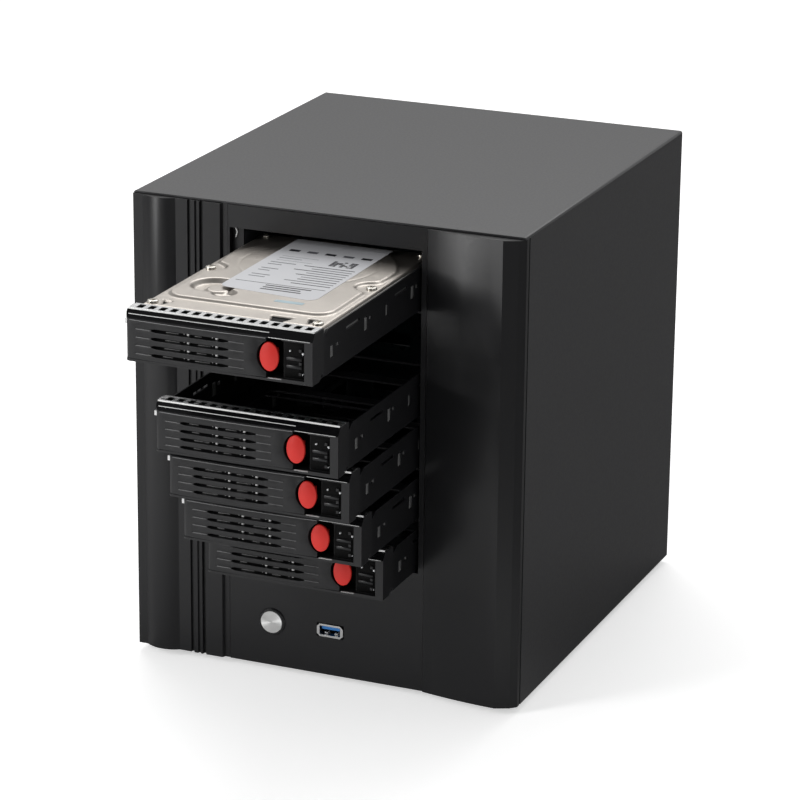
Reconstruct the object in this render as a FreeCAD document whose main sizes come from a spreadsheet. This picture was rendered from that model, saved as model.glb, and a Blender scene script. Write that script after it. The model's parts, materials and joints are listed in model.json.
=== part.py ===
import FreeCAD
import math
import os
import Part
import Sketcher

# Desktop network attached storage tower with six hot-swap bays. The second bay from the top is empty,
# the other five hold trays that stand pulled out by different amounts, and the top tray carries a drive.
# Millimetres. X runs to the right seen from the front, Y towards the back, Z up.
# The origin is on the desk under the middle of the case.

Vector = FreeCAD.Vector

SIZES = {
    "case_wide": 230.0,
    "case_deep": 254.0,
    "case_high": 266.0,
    "foot_high": 4.0,
    "foot_radius": 10.0,
    "foot_inset": 28.0,
    "sheet": 1.0,
    "cover_flange": 8.0,
    "cover_lip": 1.5,
    "cover_bend": 1.4,
    "bezel_thick": 4.0,
    "bay_centre": 2.7,
    "bay_pitch": 29.6,
    "bay_bottom": 73.8,
    "bay_half": 53.0,
    "opening_centre": -0.5,
    "opening_half": 56.3,
    "opening_top": 256.0,
    "cage_deep": 156.5,
    "rail_height": 9.0,
    "rail_reach": 3.5,
    "tray_half": 52.15,
    "tray_high": 26.6,
    "tray_long": 162.0,
    "frame_deep": 14.0,
    "closed_front": -132.0,
    "sled_half": 51.6,
    "sled_sheet": 0.8,
    "sled_high": 24.4,
    "pull_1": 136.0,
    "pull_2": 104.0,
    "pull_3": 89.3,
    "pull_4": 73.0,
    "pull_5": 43.7,
    "drive_wide": 101.6,
    "drive_long": 147.0,
    "drive_high": 26.1,
    "drive_setback": 15.0,
    "platter_radius": 47.5,
    "button_centre": -31.7,
    "usb_centre": 3.6,
    "controls_high": 30.5,
    "button_radius": 6.4,
    "ring_radius": 8.2,
    "usb_half": 7.9,
    "side_gap": 1.4,
    "fan_size": 120.0,
    "fan_deep": 25.0,
    "fan_high": 164.0,
    "psu_wide": 81.5,
    "psu_high": 40.5,
    "psu_long": 150.0,
    "board_size": 170.0,
    "board_sheet": 1.6,
    "board_side": 105.0,
    "board_bottom": 44.0,
    "lever_long": 78.8,
    "lever_deep": 5.6,
    "lever_bottom": 1.5,
    "lever_top": 22.1,
    "button_across": 80.4,
    "button_up": 12.4,
    "notch_across": 82.7,
    "notch_radius": 9.0,
    "hinge_in": 4.2,
    "hinge_back": 3.4,
    "vent_first": 4.6,
    "vent_pitch": 4.37,
    "vent_half": 0.95,
    "window_left": 86.4,
    "window_right": 99.9,
}

# bay index from the top, for each tray from the top
TRAY_BAYS = {1: 0, 2: 2, 3: 3, 4: 4, 5: 5}
BAY_COUNT = 6

doc = FreeCAD.newDocument("storage_tower")
sheet = doc.addObject("Spreadsheet::Sheet", "dims")
for row, (alias, value) in enumerate(SIZES.items(), start=1):
    sheet.set(f"A{row}", alias)
    sheet.set(f"B{row}", str(value))
    sheet.setAlias(f"B{row}", alias)
doc.recompute()

SUBPARTS = []


class Size:
    """A length that knows its number and the spreadsheet expression that gives it."""

    def __init__(self, value, text):
        self.value = float(value)
        self.text = text

    def __add__(self, other):
        other = size(other)
        return Size(self.value + other.value, f"({self.text} + {other.text})")

    def __sub__(self, other):
        other = size(other)
        return Size(self.value - other.value, f"({self.text} - {other.text})")

    def __mul__(self, factor):
        return Size(self.value * factor, f"({self.text} * {factor})")

    def __truediv__(self, factor):
        return Size(self.value / factor, f"({self.text} / {factor})")

    def __neg__(self):
        return Size(-self.value, f"(0 - {self.text})")

    def __radd__(self, other):
        return size(other) + self

    def __rsub__(self, other):
        return size(other) - self


def size(value):
    """A plain number as a Size, and a Size as itself."""
    if isinstance(value, Size):
        return value
    return Size(value, f"({float(value)})")


def dim(alias):
    """The spreadsheet's value of one alias."""
    return Size(SIZES[alias], f"dims.{alias}")


def bind(thing, path, value):
    """Ties one property of an object to the spreadsheet."""
    thing.setExpression(path, size(value).text)


def put(thing, x, y, z, rotation=None):
    """Sets an object's place, tied to the spreadsheet."""
    x, y, z = size(x), size(y), size(z)
    turn = rotation or FreeCAD.Rotation()
    thing.Placement = FreeCAD.Placement(Vector(x.value, y.value, z.value), turn)
    bind(thing, "Placement.Base.x", x)
    bind(thing, "Placement.Base.y", y)
    bind(thing, "Placement.Base.z", z)
    return thing


def box(x0, y0, z0, x1, y1, z1):
    """A block between two corners."""
    block = doc.addObject("Part::Box", "block")
    bind(block, "Length", size(x1) - x0)
    bind(block, "Width", size(y1) - y0)
    bind(block, "Height", size(z1) - z0)
    return put(block, x0, y0, z0)


TURNS = {
    "x": FreeCAD.Rotation(Vector(0, 1, 0), 90),
    "y": FreeCAD.Rotation(Vector(1, 0, 0), -90),
    "z": FreeCAD.Rotation(),
}


def rod(axis, x, y, z, radius, length):
    """A cylinder that starts at a point and runs along the positive axis."""
    cylinder = doc.addObject("Part::Cylinder", "rod")
    bind(cylinder, "Radius", radius)
    bind(cylinder, "Height", length)
    return put(cylinder, x, y, z, TURNS[axis])


def cone(axis, x, y, z, radius_low, radius_high, length):
    """A cone that starts at a point and runs along the positive axis."""
    taper = doc.addObject("Part::Cone", "taper")
    bind(taper, "Radius1", radius_low)
    bind(taper, "Radius2", radius_high)
    bind(taper, "Height", length)
    return put(taper, x, y, z, TURNS[axis])


def group(things):
    """Several separate solids as one object."""
    held = doc.addObject("Part::Compound", "group")
    held.Links = things
    return held


def fuse(*things):
    """Several overlapping solids made one."""
    whole = doc.addObject("Part::MultiFuse", "fused")
    whole.Shapes = list(things)
    return whole


def cut(base, *tools):
    """A solid with others taken away from it."""
    less = doc.addObject("Part::Cut", "cut")
    less.Base = base
    less.Tool = tools[0] if len(tools) == 1 else fuse(*tools)
    return less


def subpart(label, thing):
    """Names a finished piece and keeps it for writing."""
    thing.Label = label
    SUBPARTS.append(thing)
    return thing


# ---- sketched bodies -------------------------------------------------------------------------------


def rectangle(x0, y0, x1, y1):
    """A closed rectangle for a sketch, as its four corners."""
    return [(x0, y0), (x1, y0), (x1, y1), (x0, y1)], {}


def outline(points, arcs=None):
    """A closed outline for a sketch. arcs maps a side's number to how far it bows out to its right."""
    return points, arcs or {}


def draw(sketch, points, arcs):
    """Adds one outline to a sketch, each corner tied to the spreadsheet."""
    corners = [(size(x), size(y)) for x, y in points]
    first = sketch.GeometryCount
    count = len(corners)
    for index in range(count):
        start = Vector(corners[index][0].value, corners[index][1].value, 0)
        end_corner = corners[(index + 1) % count]
        end = Vector(end_corner[0].value, end_corner[1].value, 0)
        if index in arcs:
            chord = end - start
            side = Vector(chord.y, -chord.x, 0).normalize()
            middle = (start + end) * 0.5 + side * arcs[index]
            sketch.addGeometry(Part.Arc(start, middle, end), False)
        else:
            sketch.addGeometry(Part.LineSegment(start, end), False)
    ends = [side_ends(index, arcs) for index in range(count)]
    for index in range(count):
        following = (index + 1) % count
        sketch.addConstraint(
            Sketcher.Constraint("Coincident", first + index, ends[index][1],
                                first + following, ends[following][0])
        )
    for index, (x, y) in enumerate(corners):
        pin_point(sketch, first + index, ends[index][0], x, y)
    for index in arcs:
        pin_radius(sketch, first + index)


def side_ends(index, arcs):
    """The numbers of a side's start and end point. An arc that bows to the right is stored reversed."""
    if index in arcs and arcs[index] < 0:
        return 2, 1
    return 1, 2


def pin_point(sketch, side, end, x, y):
    """Ties a sketch point to two sizes measured from the sketch's origin."""
    for kind, value in (("DistanceX", x), ("DistanceY", y)):
        number = sketch.addConstraint(Sketcher.Constraint(kind, -1, 1, side, end, value.value))
        sketch.setExpression(f"Constraints[{number}]", value.text)


def pin_radius(sketch, side):
    """Fixes an arc's radius at the one it was drawn with."""
    radius = sketch.Geometry[side].Radius
    sketch.addConstraint(Sketcher.Constraint("Radius", side, radius))


def new_body(name):
    """An empty body."""
    return doc.addObject("PartDesign::Body", name + "_body")


def sketch_on(body, role, level, outlines):
    """A sketch on one of the body's own planes, moved along the plane's normal to a level."""
    sketch = body.newObject("Sketcher::SketchObject", "sketch")
    plane = [f for f in body.Origin.OriginFeatures if f.Role == role][0]
    sketch.AttachmentSupport = [(plane, "")]
    sketch.MapMode = "FlatFace"
    level = size(level)
    sketch.AttachmentOffset = FreeCAD.Placement(Vector(0, 0, level.value), FreeCAD.Rotation())
    bind(sketch, "AttachmentOffset.Base.z", level)
    for points, arcs in outlines:
        draw(sketch, points, arcs)
    return sketch


def span(role, low, high):
    """Where a sketch starts and how far it runs. The XZ plane's normal points to -Y."""
    low, high = size(low), size(high)
    if role == "XZ_Plane":
        return -high, high - low
    return low, high - low


def pad(body, role, low, high, *outlines):
    """Adds the outlines' solid between two levels."""
    level, length = span(role, low, high)
    feature = body.newObject("PartDesign::Pad", "pad")
    feature.Profile = sketch_on(body, role, level, outlines)
    bind(feature, "Length", length)
    body.Tip = feature
    return feature


def pocket(body, role, low, high, *outlines):
    """Takes the outlines' solid away between two levels, and makes sure that it met the body."""
    doc.recompute([body])
    before = body.Shape.Volume
    level, length = span(role, low, high)
    feature = body.newObject("PartDesign::Pocket", "pocket")
    feature.Profile = sketch_on(body, role, level, outlines)
    feature.Reversed = True
    bind(feature, "Length", length)
    body.Tip = feature
    doc.recompute([body])
    if body.Shape.Volume > before - 1e-3:
        raise RuntimeError(f"a pocket in {body.Name} cuts nothing")
    return feature


def repeat(body, feature, axis, step, count):
    """Repeats a body's last feature along its sketch's horizontal or vertical axis."""
    pattern = body.newObject("PartDesign::LinearPattern", "pattern")
    pattern.Originals = [feature]
    pattern.Direction = (feature.Profile[0], [axis])
    bind(pattern, "Length", size(step) * (count - 1))
    pattern.Occurrences = count
    body.Tip = pattern
    return pattern


# ---- places worked out from the driving sizes ------------------------------------------------------

case_half = dim("case_wide") / 2
case_front = -(dim("case_deep") / 2)
case_back = dim("case_deep") / 2
case_bottom = dim("foot_high")
case_top = dim("foot_high") + dim("case_high")
skin = dim("sheet")
inside_half = case_half - skin - 0.2
bezel_back = case_front + 2
bezel_face = bezel_back - dim("bezel_thick")
plate_back = bezel_back + skin
panel_back = case_back - 1
panel_front = panel_back - skin
bay = dim("bay_centre")
cage_back = plate_back + dim("cage_deep")
cage_top_level = dim("opening_top") + skin
bay_half = dim("bay_half")


def bay_level(index):
    """The height of a tray's underside in a bay, counted from the top."""
    return dim("bay_bottom") + dim("bay_pitch") * (BAY_COUNT - 1 - index)


# ---- casing ----------------------------------------------------------------------------------------

LIP_HIGH = 12.0
FLOOR_SLOT_COUNT = 7
FLOOR_SLOT_LEFT = -54.0
FLOOR_SLOT_WIDE = 6.0
FLOOR_SLOT_PITCH = 14.0
FLOOR_SLOT_FRONT = -88.0
FLOOR_SLOT_BACK = -40.0
FAN_OPENING_RADIUS = 57.0
PORT_WINDOW_WIDE = 44.45
PORT_WINDOW_TALL = 158.75


def make_base_pan():
    body = new_body("base_pan")
    plan = rectangle(-inside_half, plate_back, inside_half, panel_front)
    pad(body, "XY_Plane", case_bottom, case_bottom + skin, plan)
    lip_top = case_bottom + LIP_HIGH
    left = rectangle(-inside_half, plate_back, -inside_half + skin, panel_front)
    right = rectangle(inside_half - skin, plate_back, inside_half, panel_front)
    pad(body, "XY_Plane", case_bottom, lip_top, left, right)
    slot = rectangle(FLOOR_SLOT_LEFT, FLOOR_SLOT_FRONT, FLOOR_SLOT_LEFT + FLOOR_SLOT_WIDE, FLOOR_SLOT_BACK)
    first = pocket(body, "XY_Plane", case_bottom - 1, case_bottom + skin + 1, slot)
    repeat(body, first, "H_Axis", FLOOR_SLOT_PITCH, FLOOR_SLOT_COUNT)
    subpart("base_pan", body)


def make_front_plate():
    body = new_body("front_plate")
    sheet_outline = rectangle(-inside_half, case_bottom + skin, inside_half, case_top - skin - 0.4)
    pad(body, "XZ_Plane", bezel_back, plate_back, sheet_outline)
    windows = []
    below_tray = 0.7
    above_tray = 1.3
    for index in range(BAY_COUNT):
        low = bay_level(index) - below_tray
        high = bay_level(index) + dim("tray_high") + above_tray
        if index == 0:
            high = dim("opening_top")
        windows.append(rectangle(bay - bay_half, low, bay + bay_half, high))
    control_half = 9.0
    for centre in (dim("button_centre"), dim("usb_centre")):
        middle = dim("controls_high")
        windows.append(rectangle(centre - control_half, middle - control_half,
                                 centre + control_half, middle + control_half))
    pocket(body, "XZ_Plane", bezel_back - 1, plate_back + 1, *windows)
    subpart("front_plate", body)


def make_rear_panel():
    body = new_body("rear_panel")
    low = case_bottom + skin
    pad(body, "XZ_Plane", panel_front, panel_back,
        rectangle(-inside_half, low, inside_half, case_top - skin - 0.4))
    psu_half = dim("psu_wide") / 2 - 2.5
    psu_window = rectangle(bay - psu_half, low + 3.5, bay + psu_half, low + dim("psu_high") - 2)
    port_side = dim("board_side") + 1.5
    port_low = dim("board_bottom") + 5
    port_window = rectangle(port_side - PORT_WINDOW_WIDE, port_low, port_side, port_low + PORT_WINDOW_TALL)
    pocket(body, "XZ_Plane", panel_front - 1, panel_back + 1, psu_window, port_window)
    fan_hole = rod("y", bay, panel_front - 1, dim("fan_high"), FAN_OPENING_RADIUS, 4)
    subpart("rear_panel", cut(body, fan_hole))


def make_cover():
    body = new_body("cover_shell")
    inner = case_half - skin
    top_inner = case_top - skin
    bend = dim("cover_bend")
    bow = SIZES["cover_bend"] * (1 - math.sqrt(0.5))
    wrap = outline([
        (-case_half, case_bottom), (-inner, case_bottom), (-inner, top_inner), (inner, top_inner),
        (inner, case_bottom), (case_half, case_bottom), (case_half, case_top - bend),
        (case_half - bend, case_top), (-case_half + bend, case_top), (-case_half, case_top - bend),
    ], {6: bow, 8: bow})
    lip_front = case_front - dim("cover_lip")
    pad(body, "XZ_Plane", lip_front, panel_back, wrap)
    flange_side = case_half - dim("cover_flange")
    flange = outline([
        (-case_half, case_bottom), (-flange_side, case_bottom),
        (-flange_side, case_top - dim("cover_flange")), (flange_side, case_top - dim("cover_flange")),
        (flange_side, case_bottom), (case_half, case_bottom), (case_half, case_top - bend),
        (case_half - bend, case_top), (-case_half + bend, case_top), (-case_half, case_top - bend),
    ], {6: bow, 8: bow})
    pad(body, "XZ_Plane", panel_back, case_back, flange)
    side_front = bezel_back + dim("side_gap")
    front_gap = rectangle(-case_half - 1, case_bottom - 1, case_half + 1, top_inner)
    pocket(body, "XZ_Plane", lip_front - 1, side_front, front_gap)
    subpart("cover_shell", body)


def bezel_profile():
    """The bezel's plan from its left back corner: a round column, narrow grooves and a curved wedge."""
    face = bezel_face
    return outline([
        (-case_half, bezel_back), (-case_half, face - 0.5), (-case_half + 5.5, face - 0.5),
        (-case_half + 26.0, face - 1.0), (-case_half + 33.2, face - 1.1),
        (-case_half + 33.6, face + 0.4), (-case_half + 34.8, face + 0.4),
        (-case_half + 35.2, face - 1.3), (-case_half + 37.6, face - 1.3),
        (-case_half + 38.0, face - 0.2), (-case_half + 39.0, face - 0.2),
        (-case_half + 39.4, face - 1.5), (-case_half + 40.6, face - 1.5),
        (-case_half + 41.0, face + 0.4), (-case_half + 42.2, face + 0.4),
        (-case_half + 42.6, face - 1.3), (-case_half + 52.9, face - 1.3),
        (-case_half + 53.9, face + 0.6), (-case_half + 56.7, face + 0.6),
        (-case_half + 57.3, face), (-case_half + 174.0, face), (-case_half + 174.6, face - 0.9),
        (case_half - 11.0, face - 6.1), (case_half - 3.4, face - 2.6), (case_half, face + 0.7),
        (case_half, bezel_back),
    ], {2: 3.3, 21: 0.9})


def make_bezel():
    body = new_body("front_bezel")
    bezel_top = case_top - skin - 0.2
    pad(body, "XY_Plane", case_bottom, bezel_top, bezel_profile())
    left = dim("opening_centre") - dim("opening_half")
    right = dim("opening_centre") + dim("opening_half")
    opening = rectangle(left, dim("bay_bottom") - 0.8, right, dim("opening_top"))
    pocket(body, "XZ_Plane", case_front - 12, bezel_back + 1, opening)
    column = rectangle(-case_half + 7, case_bottom + 4, -case_half + 24, bezel_top - 4)
    pocket(body, "XZ_Plane", bezel_back - 4.2, bezel_back + 1, column)
    wedge = rectangle(right + 12, case_bottom + 4, case_half - 7, bezel_top - 4)
    pocket(body, "XZ_Plane", bezel_back - 4.0, bezel_back + 1, wedge)
    button_hole = rod("y", dim("button_centre"), case_front - 12, dim("controls_high"), 7.8, 30)
    usb = dim("usb_centre")
    high = dim("controls_high")
    reach = dim("usb_half") + 0.3
    usb_hole = box(usb - reach, case_front - 12, high - 4.05, usb + reach, bezel_back + 1, high + 4.05)
    subpart("front_bezel", cut(body, button_hole, usb_hole))


def make_feet():
    feet = []
    for across in (-1, 1):
        for along in (-1, 1):
            x = (case_half - dim("foot_inset")) * across
            y = (case_back - dim("foot_inset")) * along
            feet.append(cone("z", x, y, 0, dim("foot_radius") - 1, dim("foot_radius"),
                             dim("foot_high")))
    subpart("rubber_feet", group(feet))


# ---- drive cage ------------------------------------------------------------------------------------

REAR_FLANGE = 6.0
VENT_COLUMNS = 4
VENT_COLUMN_PITCH = 34.0
PLATE_SLOTS = 5
PLATE_SLOT_PITCH = 28.0


def make_cage_wall(label, side):
    """A steel side wall that stands on the base pan, with windows and a rear flange."""
    inner = bay + bay_half * side
    outer = inner + skin * side
    low, high = (inner, outer) if side > 0 else (outer, inner)
    body = new_body(label)
    bottom = case_bottom + skin
    pad(body, "YZ_Plane", low, high, rectangle(plate_back, bottom, cage_back, cage_top_level))
    flange_end = outer + REAR_FLANGE * side
    a, b = (low, flange_end) if side > 0 else (flange_end, high)
    pad(body, "XZ_Plane", cage_back - skin, cage_back,
        rectangle(a, dim("bay_bottom"), b, cage_top_level))
    cable_window = rectangle(plate_back + 26, bottom + 17, plate_back + 88, bottom + 57)
    pocket(body, "YZ_Plane", low - 1, high + 1, cable_window)
    level = bay_level(BAY_COUNT - 1)
    windows = []
    for column in range(VENT_COLUMNS):
        y = plate_back + 14 + VENT_COLUMN_PITCH * column
        windows.append(rectangle(y, level + 13, y + 24, level + 23))
    row = pocket(body, "YZ_Plane", low - 1, high + 1, *windows)
    repeat(body, row, "V_Axis", dim("bay_pitch"), BAY_COUNT)
    subpart(label, body)


def make_cage_plates():
    floor_level = dim("bay_bottom") - 2.4
    for label, level in (("cage_floor", floor_level), ("cage_top", cage_top_level - skin)):
        body = new_body(label)
        plan = rectangle(bay - bay_half, plate_back, bay + bay_half, cage_back)
        pad(body, "XY_Plane", level, level + skin, plan)
        first_slot = rectangle(bay - 36, plate_back + 16, bay + 36, plate_back + 30)
        first = pocket(body, "XY_Plane", level - 1, level + skin + 1, first_slot)
        repeat(body, first, "V_Axis", PLATE_SLOT_PITCH, PLATE_SLOTS)
        subpart(label, body)


def make_guides():
    """Moulded rails on both walls of each bay: a ledge under the sled and a fence beside it."""
    rails = []
    start = plate_back + 11
    for side in (-1, 1):
        wall = bay + bay_half * side
        fence = bay + (dim("sled_half") + 0.35) * side
        ledge = bay + (bay_half - dim("rail_reach")) * side
        for index in range(BAY_COUNT):
            level = bay_level(index)
            fence_x = (fence, wall) if side > 0 else (wall, fence)
            ledge_x = (ledge, wall) if side > 0 else (wall, ledge)
            upright = box(fence_x[0], start, level - 1.3, fence_x[1], cage_back - 3,
                          level + dim("rail_height"))
            foot = box(ledge_x[0], start, level - 1.3, ledge_x[1], cage_back - 3, level - 0.2)
            rails.append(fuse(upright, foot))
    subpart("bay_guides", group(rails))


def make_backplane():
    half = bay_half + 6
    body = new_body("backplane_board")
    low = dim("bay_bottom") - 1
    pad(body, "XZ_Plane", cage_back, cage_back + dim("board_sheet"),
        rectangle(bay - half, low, bay + half, cage_top_level - 2))
    level = bay_level(BAY_COUNT - 1)
    slots = []
    for column in range(3):
        x = bay - 44 + 31.0 * column
        slots.append(rectangle(x, level + 14, x + 24, level + 22))
    row = pocket(body, "XZ_Plane", cage_back - 1, cage_back + 3, *slots)
    repeat(body, row, "V_Axis", dim("bay_pitch"), BAY_COUNT)
    subpart("backplane_board", body)
    sockets = []
    for index in range(BAY_COUNT):
        level = bay_level(index)
        shell = box(bay - 4, cage_back - 4.5, level + 3, bay + 38, cage_back, level + 8.5)
        slit = box(bay - 1, cage_back - 5.5, level + 5.1, bay + 35, cage_back - 1.2, level + 6.4)
        sockets.append(cut(shell, slit))
    subpart("backplane_sockets", group(sockets))


# ---- trays -----------------------------------------------------------------------------------------

VENT_COUNT = 4
WINDOW_DEEP = 3.0
CAP_THICK = 2.4
GROOVE_DEEP = 2.8
STRIP_HOLES = 16
STRIP_HOLE_PITCH = 6.25
# The openings in a sled's sides, from the front frame and from the sled's floor:
# start, bottom, length, height.
SLED_OPENINGS = (
    (9.0, 7.5, 3.5, 6.5), (16.0, 11.5, 4.0, 2.0), (29.0, 17.0, 17.0, 1.6), (52.0, 9.5, 4.0, 7.5),
    (58.5, 14.0, 3.0, 2.0), (80.0, 10.0, 2.5, 6.0), (92.0, 17.0, 17.0, 1.6), (114.0, 9.5, 4.0, 7.5),
    (120.5, 14.0, 3.0, 2.0),
)
# The openings in a sled's floor: start and end behind the front frame.
SLED_FLOOR_OPENINGS = ((12.0, 52.0), (60.0, 100.0), (108.0, 138.0))
SLED_FLOOR_HALF = 38.0


def make_sled(number, front, level):
    """A folded steel sled: a floor with cut-outs and two sides with slots, ovals and hooks' holes."""
    body = new_body(f"tray_{number}_sled")
    half = dim("sled_half")
    thick = dim("sled_sheet")
    low = level + 0.6
    top = level + dim("sled_high")
    start = front + dim("frame_deep")
    end = front + dim("tray_long") - 1
    channel = outline([
        (bay - half, low), (bay + half, low), (bay + half, top), (bay + half - thick, top),
        (bay + half - thick, low + 1), (bay - half + thick, low + 1), (bay - half + thick, top),
        (bay - half, top),
    ])
    pad(body, "XZ_Plane", start, end, channel)
    floor = []
    for opening_start, opening_end in SLED_FLOOR_OPENINGS:
        floor.append(rectangle(bay - SLED_FLOOR_HALF, start + opening_start,
                               bay + SLED_FLOOR_HALF, start + opening_end))
    pocket(body, "XY_Plane", low - 1, low + 2, *floor)
    sides = []
    for along, up, long, tall in SLED_OPENINGS:
        sides.append(rectangle(start + along, low + up, start + along + long, low + up + tall))
    pocket(body, "YZ_Plane", bay - half - 1, bay + half + 1, *sides)
    slope = outline([
        (start - 1, low + 19.5), (start + 8.0, top + 1.0), (start - 1, top + 1.0),
    ])
    pocket(body, "YZ_Plane", bay - half - 1, bay + half + 1, slope)
    subpart(f"tray_{number}_sled", body)


def vent_heights(level):
    """The middle heights of the four vents across a tray's front."""
    return [level + dim("vent_first") + dim("vent_pitch") * row for row in range(VENT_COUNT)]


def make_frame(number, front, level):
    """The moulded front frame: cheeks, grooved top, bottom lip, vented back wall and ribbed window."""
    body = new_body(f"tray_{number}_frame")
    left = bay - dim("tray_half")
    right = bay + dim("tray_half")
    top = level + dim("tray_high")
    back = front + dim("frame_deep")
    seat_low = dim("lever_bottom") + level - 0.3
    seat_high = dim("lever_top") + level + 0.3
    section = outline([
        (front, level), (back, level), (back, top), (front + 3.2, top), (front + 0.4, level + 23.0),
        (front, level + 22.6),
    ])
    pad(body, "YZ_Plane", left, right, section)
    lever_seat = rectangle(left - 1, seat_low, left + dim("lever_long") + 0.4, seat_high)
    pocket(body, "XZ_Plane", front - 1, front + dim("lever_deep") + 0.8, lever_seat)
    button_seat = rectangle(left + 72, seat_low, left + dim("window_left") + 1, seat_high)
    pocket(body, "XZ_Plane", front - 1, front + 11.0, button_seat)
    hinge_seat = rectangle(left - 1, seat_low, left + 9.5, seat_high)
    pocket(body, "XZ_Plane", front + 5, front + 8.8, hinge_seat)
    window = rectangle(left + dim("window_left"), level + 1.8, left + dim("window_right"), level + 21.8)
    pocket(body, "XZ_Plane", front - 1, front + WINDOW_DEEP, window)
    rear_hollow = rectangle(left + 2, level + 2, right - 2, top - 2)
    pocket(body, "XZ_Plane", front + 12.2, back + 1, rear_hollow)
    rounding = outline([
        (left - 1, front - 1), (left + 2.6, front - 1), (left + 2.6, front),
        (left, front + 2.4), (left - 1, front + 2.4),
    ], {2: -0.6})
    pocket(body, "XY_Plane", level - 1, top + 1, rounding)
    vents = []
    for z in vent_heights(level):
        vents.append(rectangle(left + 16, z - 1.2, left + 57, z + 1.2))
    pocket(body, "XZ_Plane", front + 5, back + 1, *vents)
    side_relief = rectangle(front + 9.0, level - 1, back + 1, level + 3.0)
    pocket(body, "YZ_Plane", right - 1.2, right + 1, side_relief)
    strip_groove = rectangle(front + 5.0, top - GROOVE_DEEP, front + 11.6, top + 1)
    pocket(body, "YZ_Plane", left + 3, right - 3, strip_groove)
    frame = fuse(body, *window_ribs(front, level, left + dim("window_left")))
    bore = rod("z", left + dim("hinge_in"), front + dim("hinge_back"), level - 1, 1.05, 24.4)
    subpart(f"tray_{number}_frame", cut(frame, bore))


def window_ribs(front, level, left):
    """Two rounded cross bars in the recessed window, and three small posts beside them."""
    ribs = []
    for z in (8.2, 12.3):
        ribs.append(rod("x", left + 3.0, front + 2.9, level + z, 1.2, 8.2))
    for z in (4.2, 9.6, 16.4):
        ribs.append(box(left + 9.8, front + 1.6, level + z, left + 11.2, front + 3.2, level + z + 1.4))
    return ribs


def make_lever(number, front, level):
    """The lever across the frame: rounded at its hinge, bowed face, four long vents, notched end."""
    body = new_body(f"tray_{number}_lever")
    left = bay - dim("tray_half")
    low = level + dim("lever_bottom")
    high = level + dim("lever_top")
    end = left + dim("lever_long")
    back = front + dim("lever_deep")
    plan = outline([
        (left + 0.3, back), (left + 0.3, front + 2.4), (left + 2.6, front + 0.2), (end, front + 0.2),
        (end, back),
    ], {1: 0.6, 2: 0.9})
    pad(body, "XY_Plane", low, high, plan)
    slots = []
    open_slots = []
    wide = dim("vent_half")
    for z in vent_heights(level):
        tip = 0.3
        slots.append(outline([
            (left + 6, z - tip), (left + 13.5, z - tip), (left + 17.5, z - wide),
            (left + 55, z - wide), (left + 59, z - tip), (left + 67, z - tip),
            (left + 67, z + tip), (left + 59, z + tip), (left + 55, z + wide),
            (left + 17.5, z + wide), (left + 13.5, z + tip), (left + 6, z + tip),
        ]))
        open_slots.append(rectangle(left + 17.5, z - wide, left + 55, z + wide))
    pocket(body, "XZ_Plane", front - 3, front + 4.0, *slots)
    pocket(body, "XZ_Plane", front + 3, back + 1.4, *open_slots)
    notch = rod("y", left + dim("notch_across"), front - 3, level + dim("button_up"),
                dim("notch_radius"), 12)
    trunnion = rod("z", left + dim("hinge_in"), front + dim("hinge_back"), level + 0.2, 1.0, 23.0)
    subpart(f"tray_{number}_lever", fuse(cut(body, notch), trunnion))


def make_release(number, front, level):
    """The thin oval push button with its flat stem behind."""
    x = bay - dim("tray_half") + dim("button_across")
    z = level + dim("button_up")
    face = doc.addObject("Part::Ellipse", "oval")
    bind(face, "MajorRadius", 7.6)
    bind(face, "MinorRadius", 5.2)
    upright = FreeCAD.Rotation(Vector(1, 1, 1), -120)
    put(face, x, front - 0.9, z, upright)
    solid = doc.addObject("Part::Extrusion", "button")
    solid.Base = face
    solid.DirMode = "Custom"
    solid.Dir = Vector(0, 1, 0)
    solid.Solid = True
    bind(solid, "LengthFwd", CAP_THICK)
    stem = box(x - 2.0, front + 1.0, z - 3.0, x + 2.0, front + 8.4, z + 3.0)
    subpart(f"tray_{number}_release", fuse(solid, stem))


def make_strip(number, front, level):
    """The bright shielding strip on the frame's top, with square holes and a hook at the left."""
    body = new_body(f"tray_{number}_strip")
    left = bay - dim("tray_half")
    right = bay + dim("tray_half")
    low = level + dim("tray_high")
    top = low + 0.5
    pad(body, "XY_Plane", low, top, rectangle(left + 0.4, front + 3.4, right - 0.4, front + 12.6))
    x = left + 3.6
    hole = pocket(body, "XY_Plane", low - 1, low + 2, rectangle(x, front + 5.6, x + 3.6, front + 11.0))
    repeat(body, hole, "H_Axis", STRIP_HOLE_PITCH, STRIP_HOLES)
    pad(body, "XY_Plane", low, low + 0.95, rectangle(left + 0.4, front + 3.3, right - 0.4, front + 3.9))
    outer = left - 0.45
    finger = box(outer, front + 7.0, level + 18.0, left, front + 11.5, top)
    roof = box(outer, front + 7.0, low, left + 1.0, front + 11.5, top)
    arm = box(outer, front + 5.0, level + 18.0, left, front + 7.5, level + 20.6)
    hook = box(left - 2.5, front + 5.0, level + 18.0, left, front + 6.0, level + 20.6)
    subpart(f"tray_{number}_strip", fuse(body, finger, roof, arm, hook))


def make_tray(number, index):
    front = dim("closed_front") - dim(f"pull_{number}")
    level = bay_level(index)
    make_sled(number, front, level)
    make_frame(number, front, level)
    make_lever(number, front, level)
    make_release(number, front, level)
    make_strip(number, front, level)


# ---- the drive in the top tray ---------------------------------------------------------------------

SPINDLE_BACK = 96.0
ARM_PIVOT_IN = 19.5
ARM_PIVOT_BACK = 39.5
CASTING_HIGH = 22.8
SCREW_HEAD_RADIUS = 2.9

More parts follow.
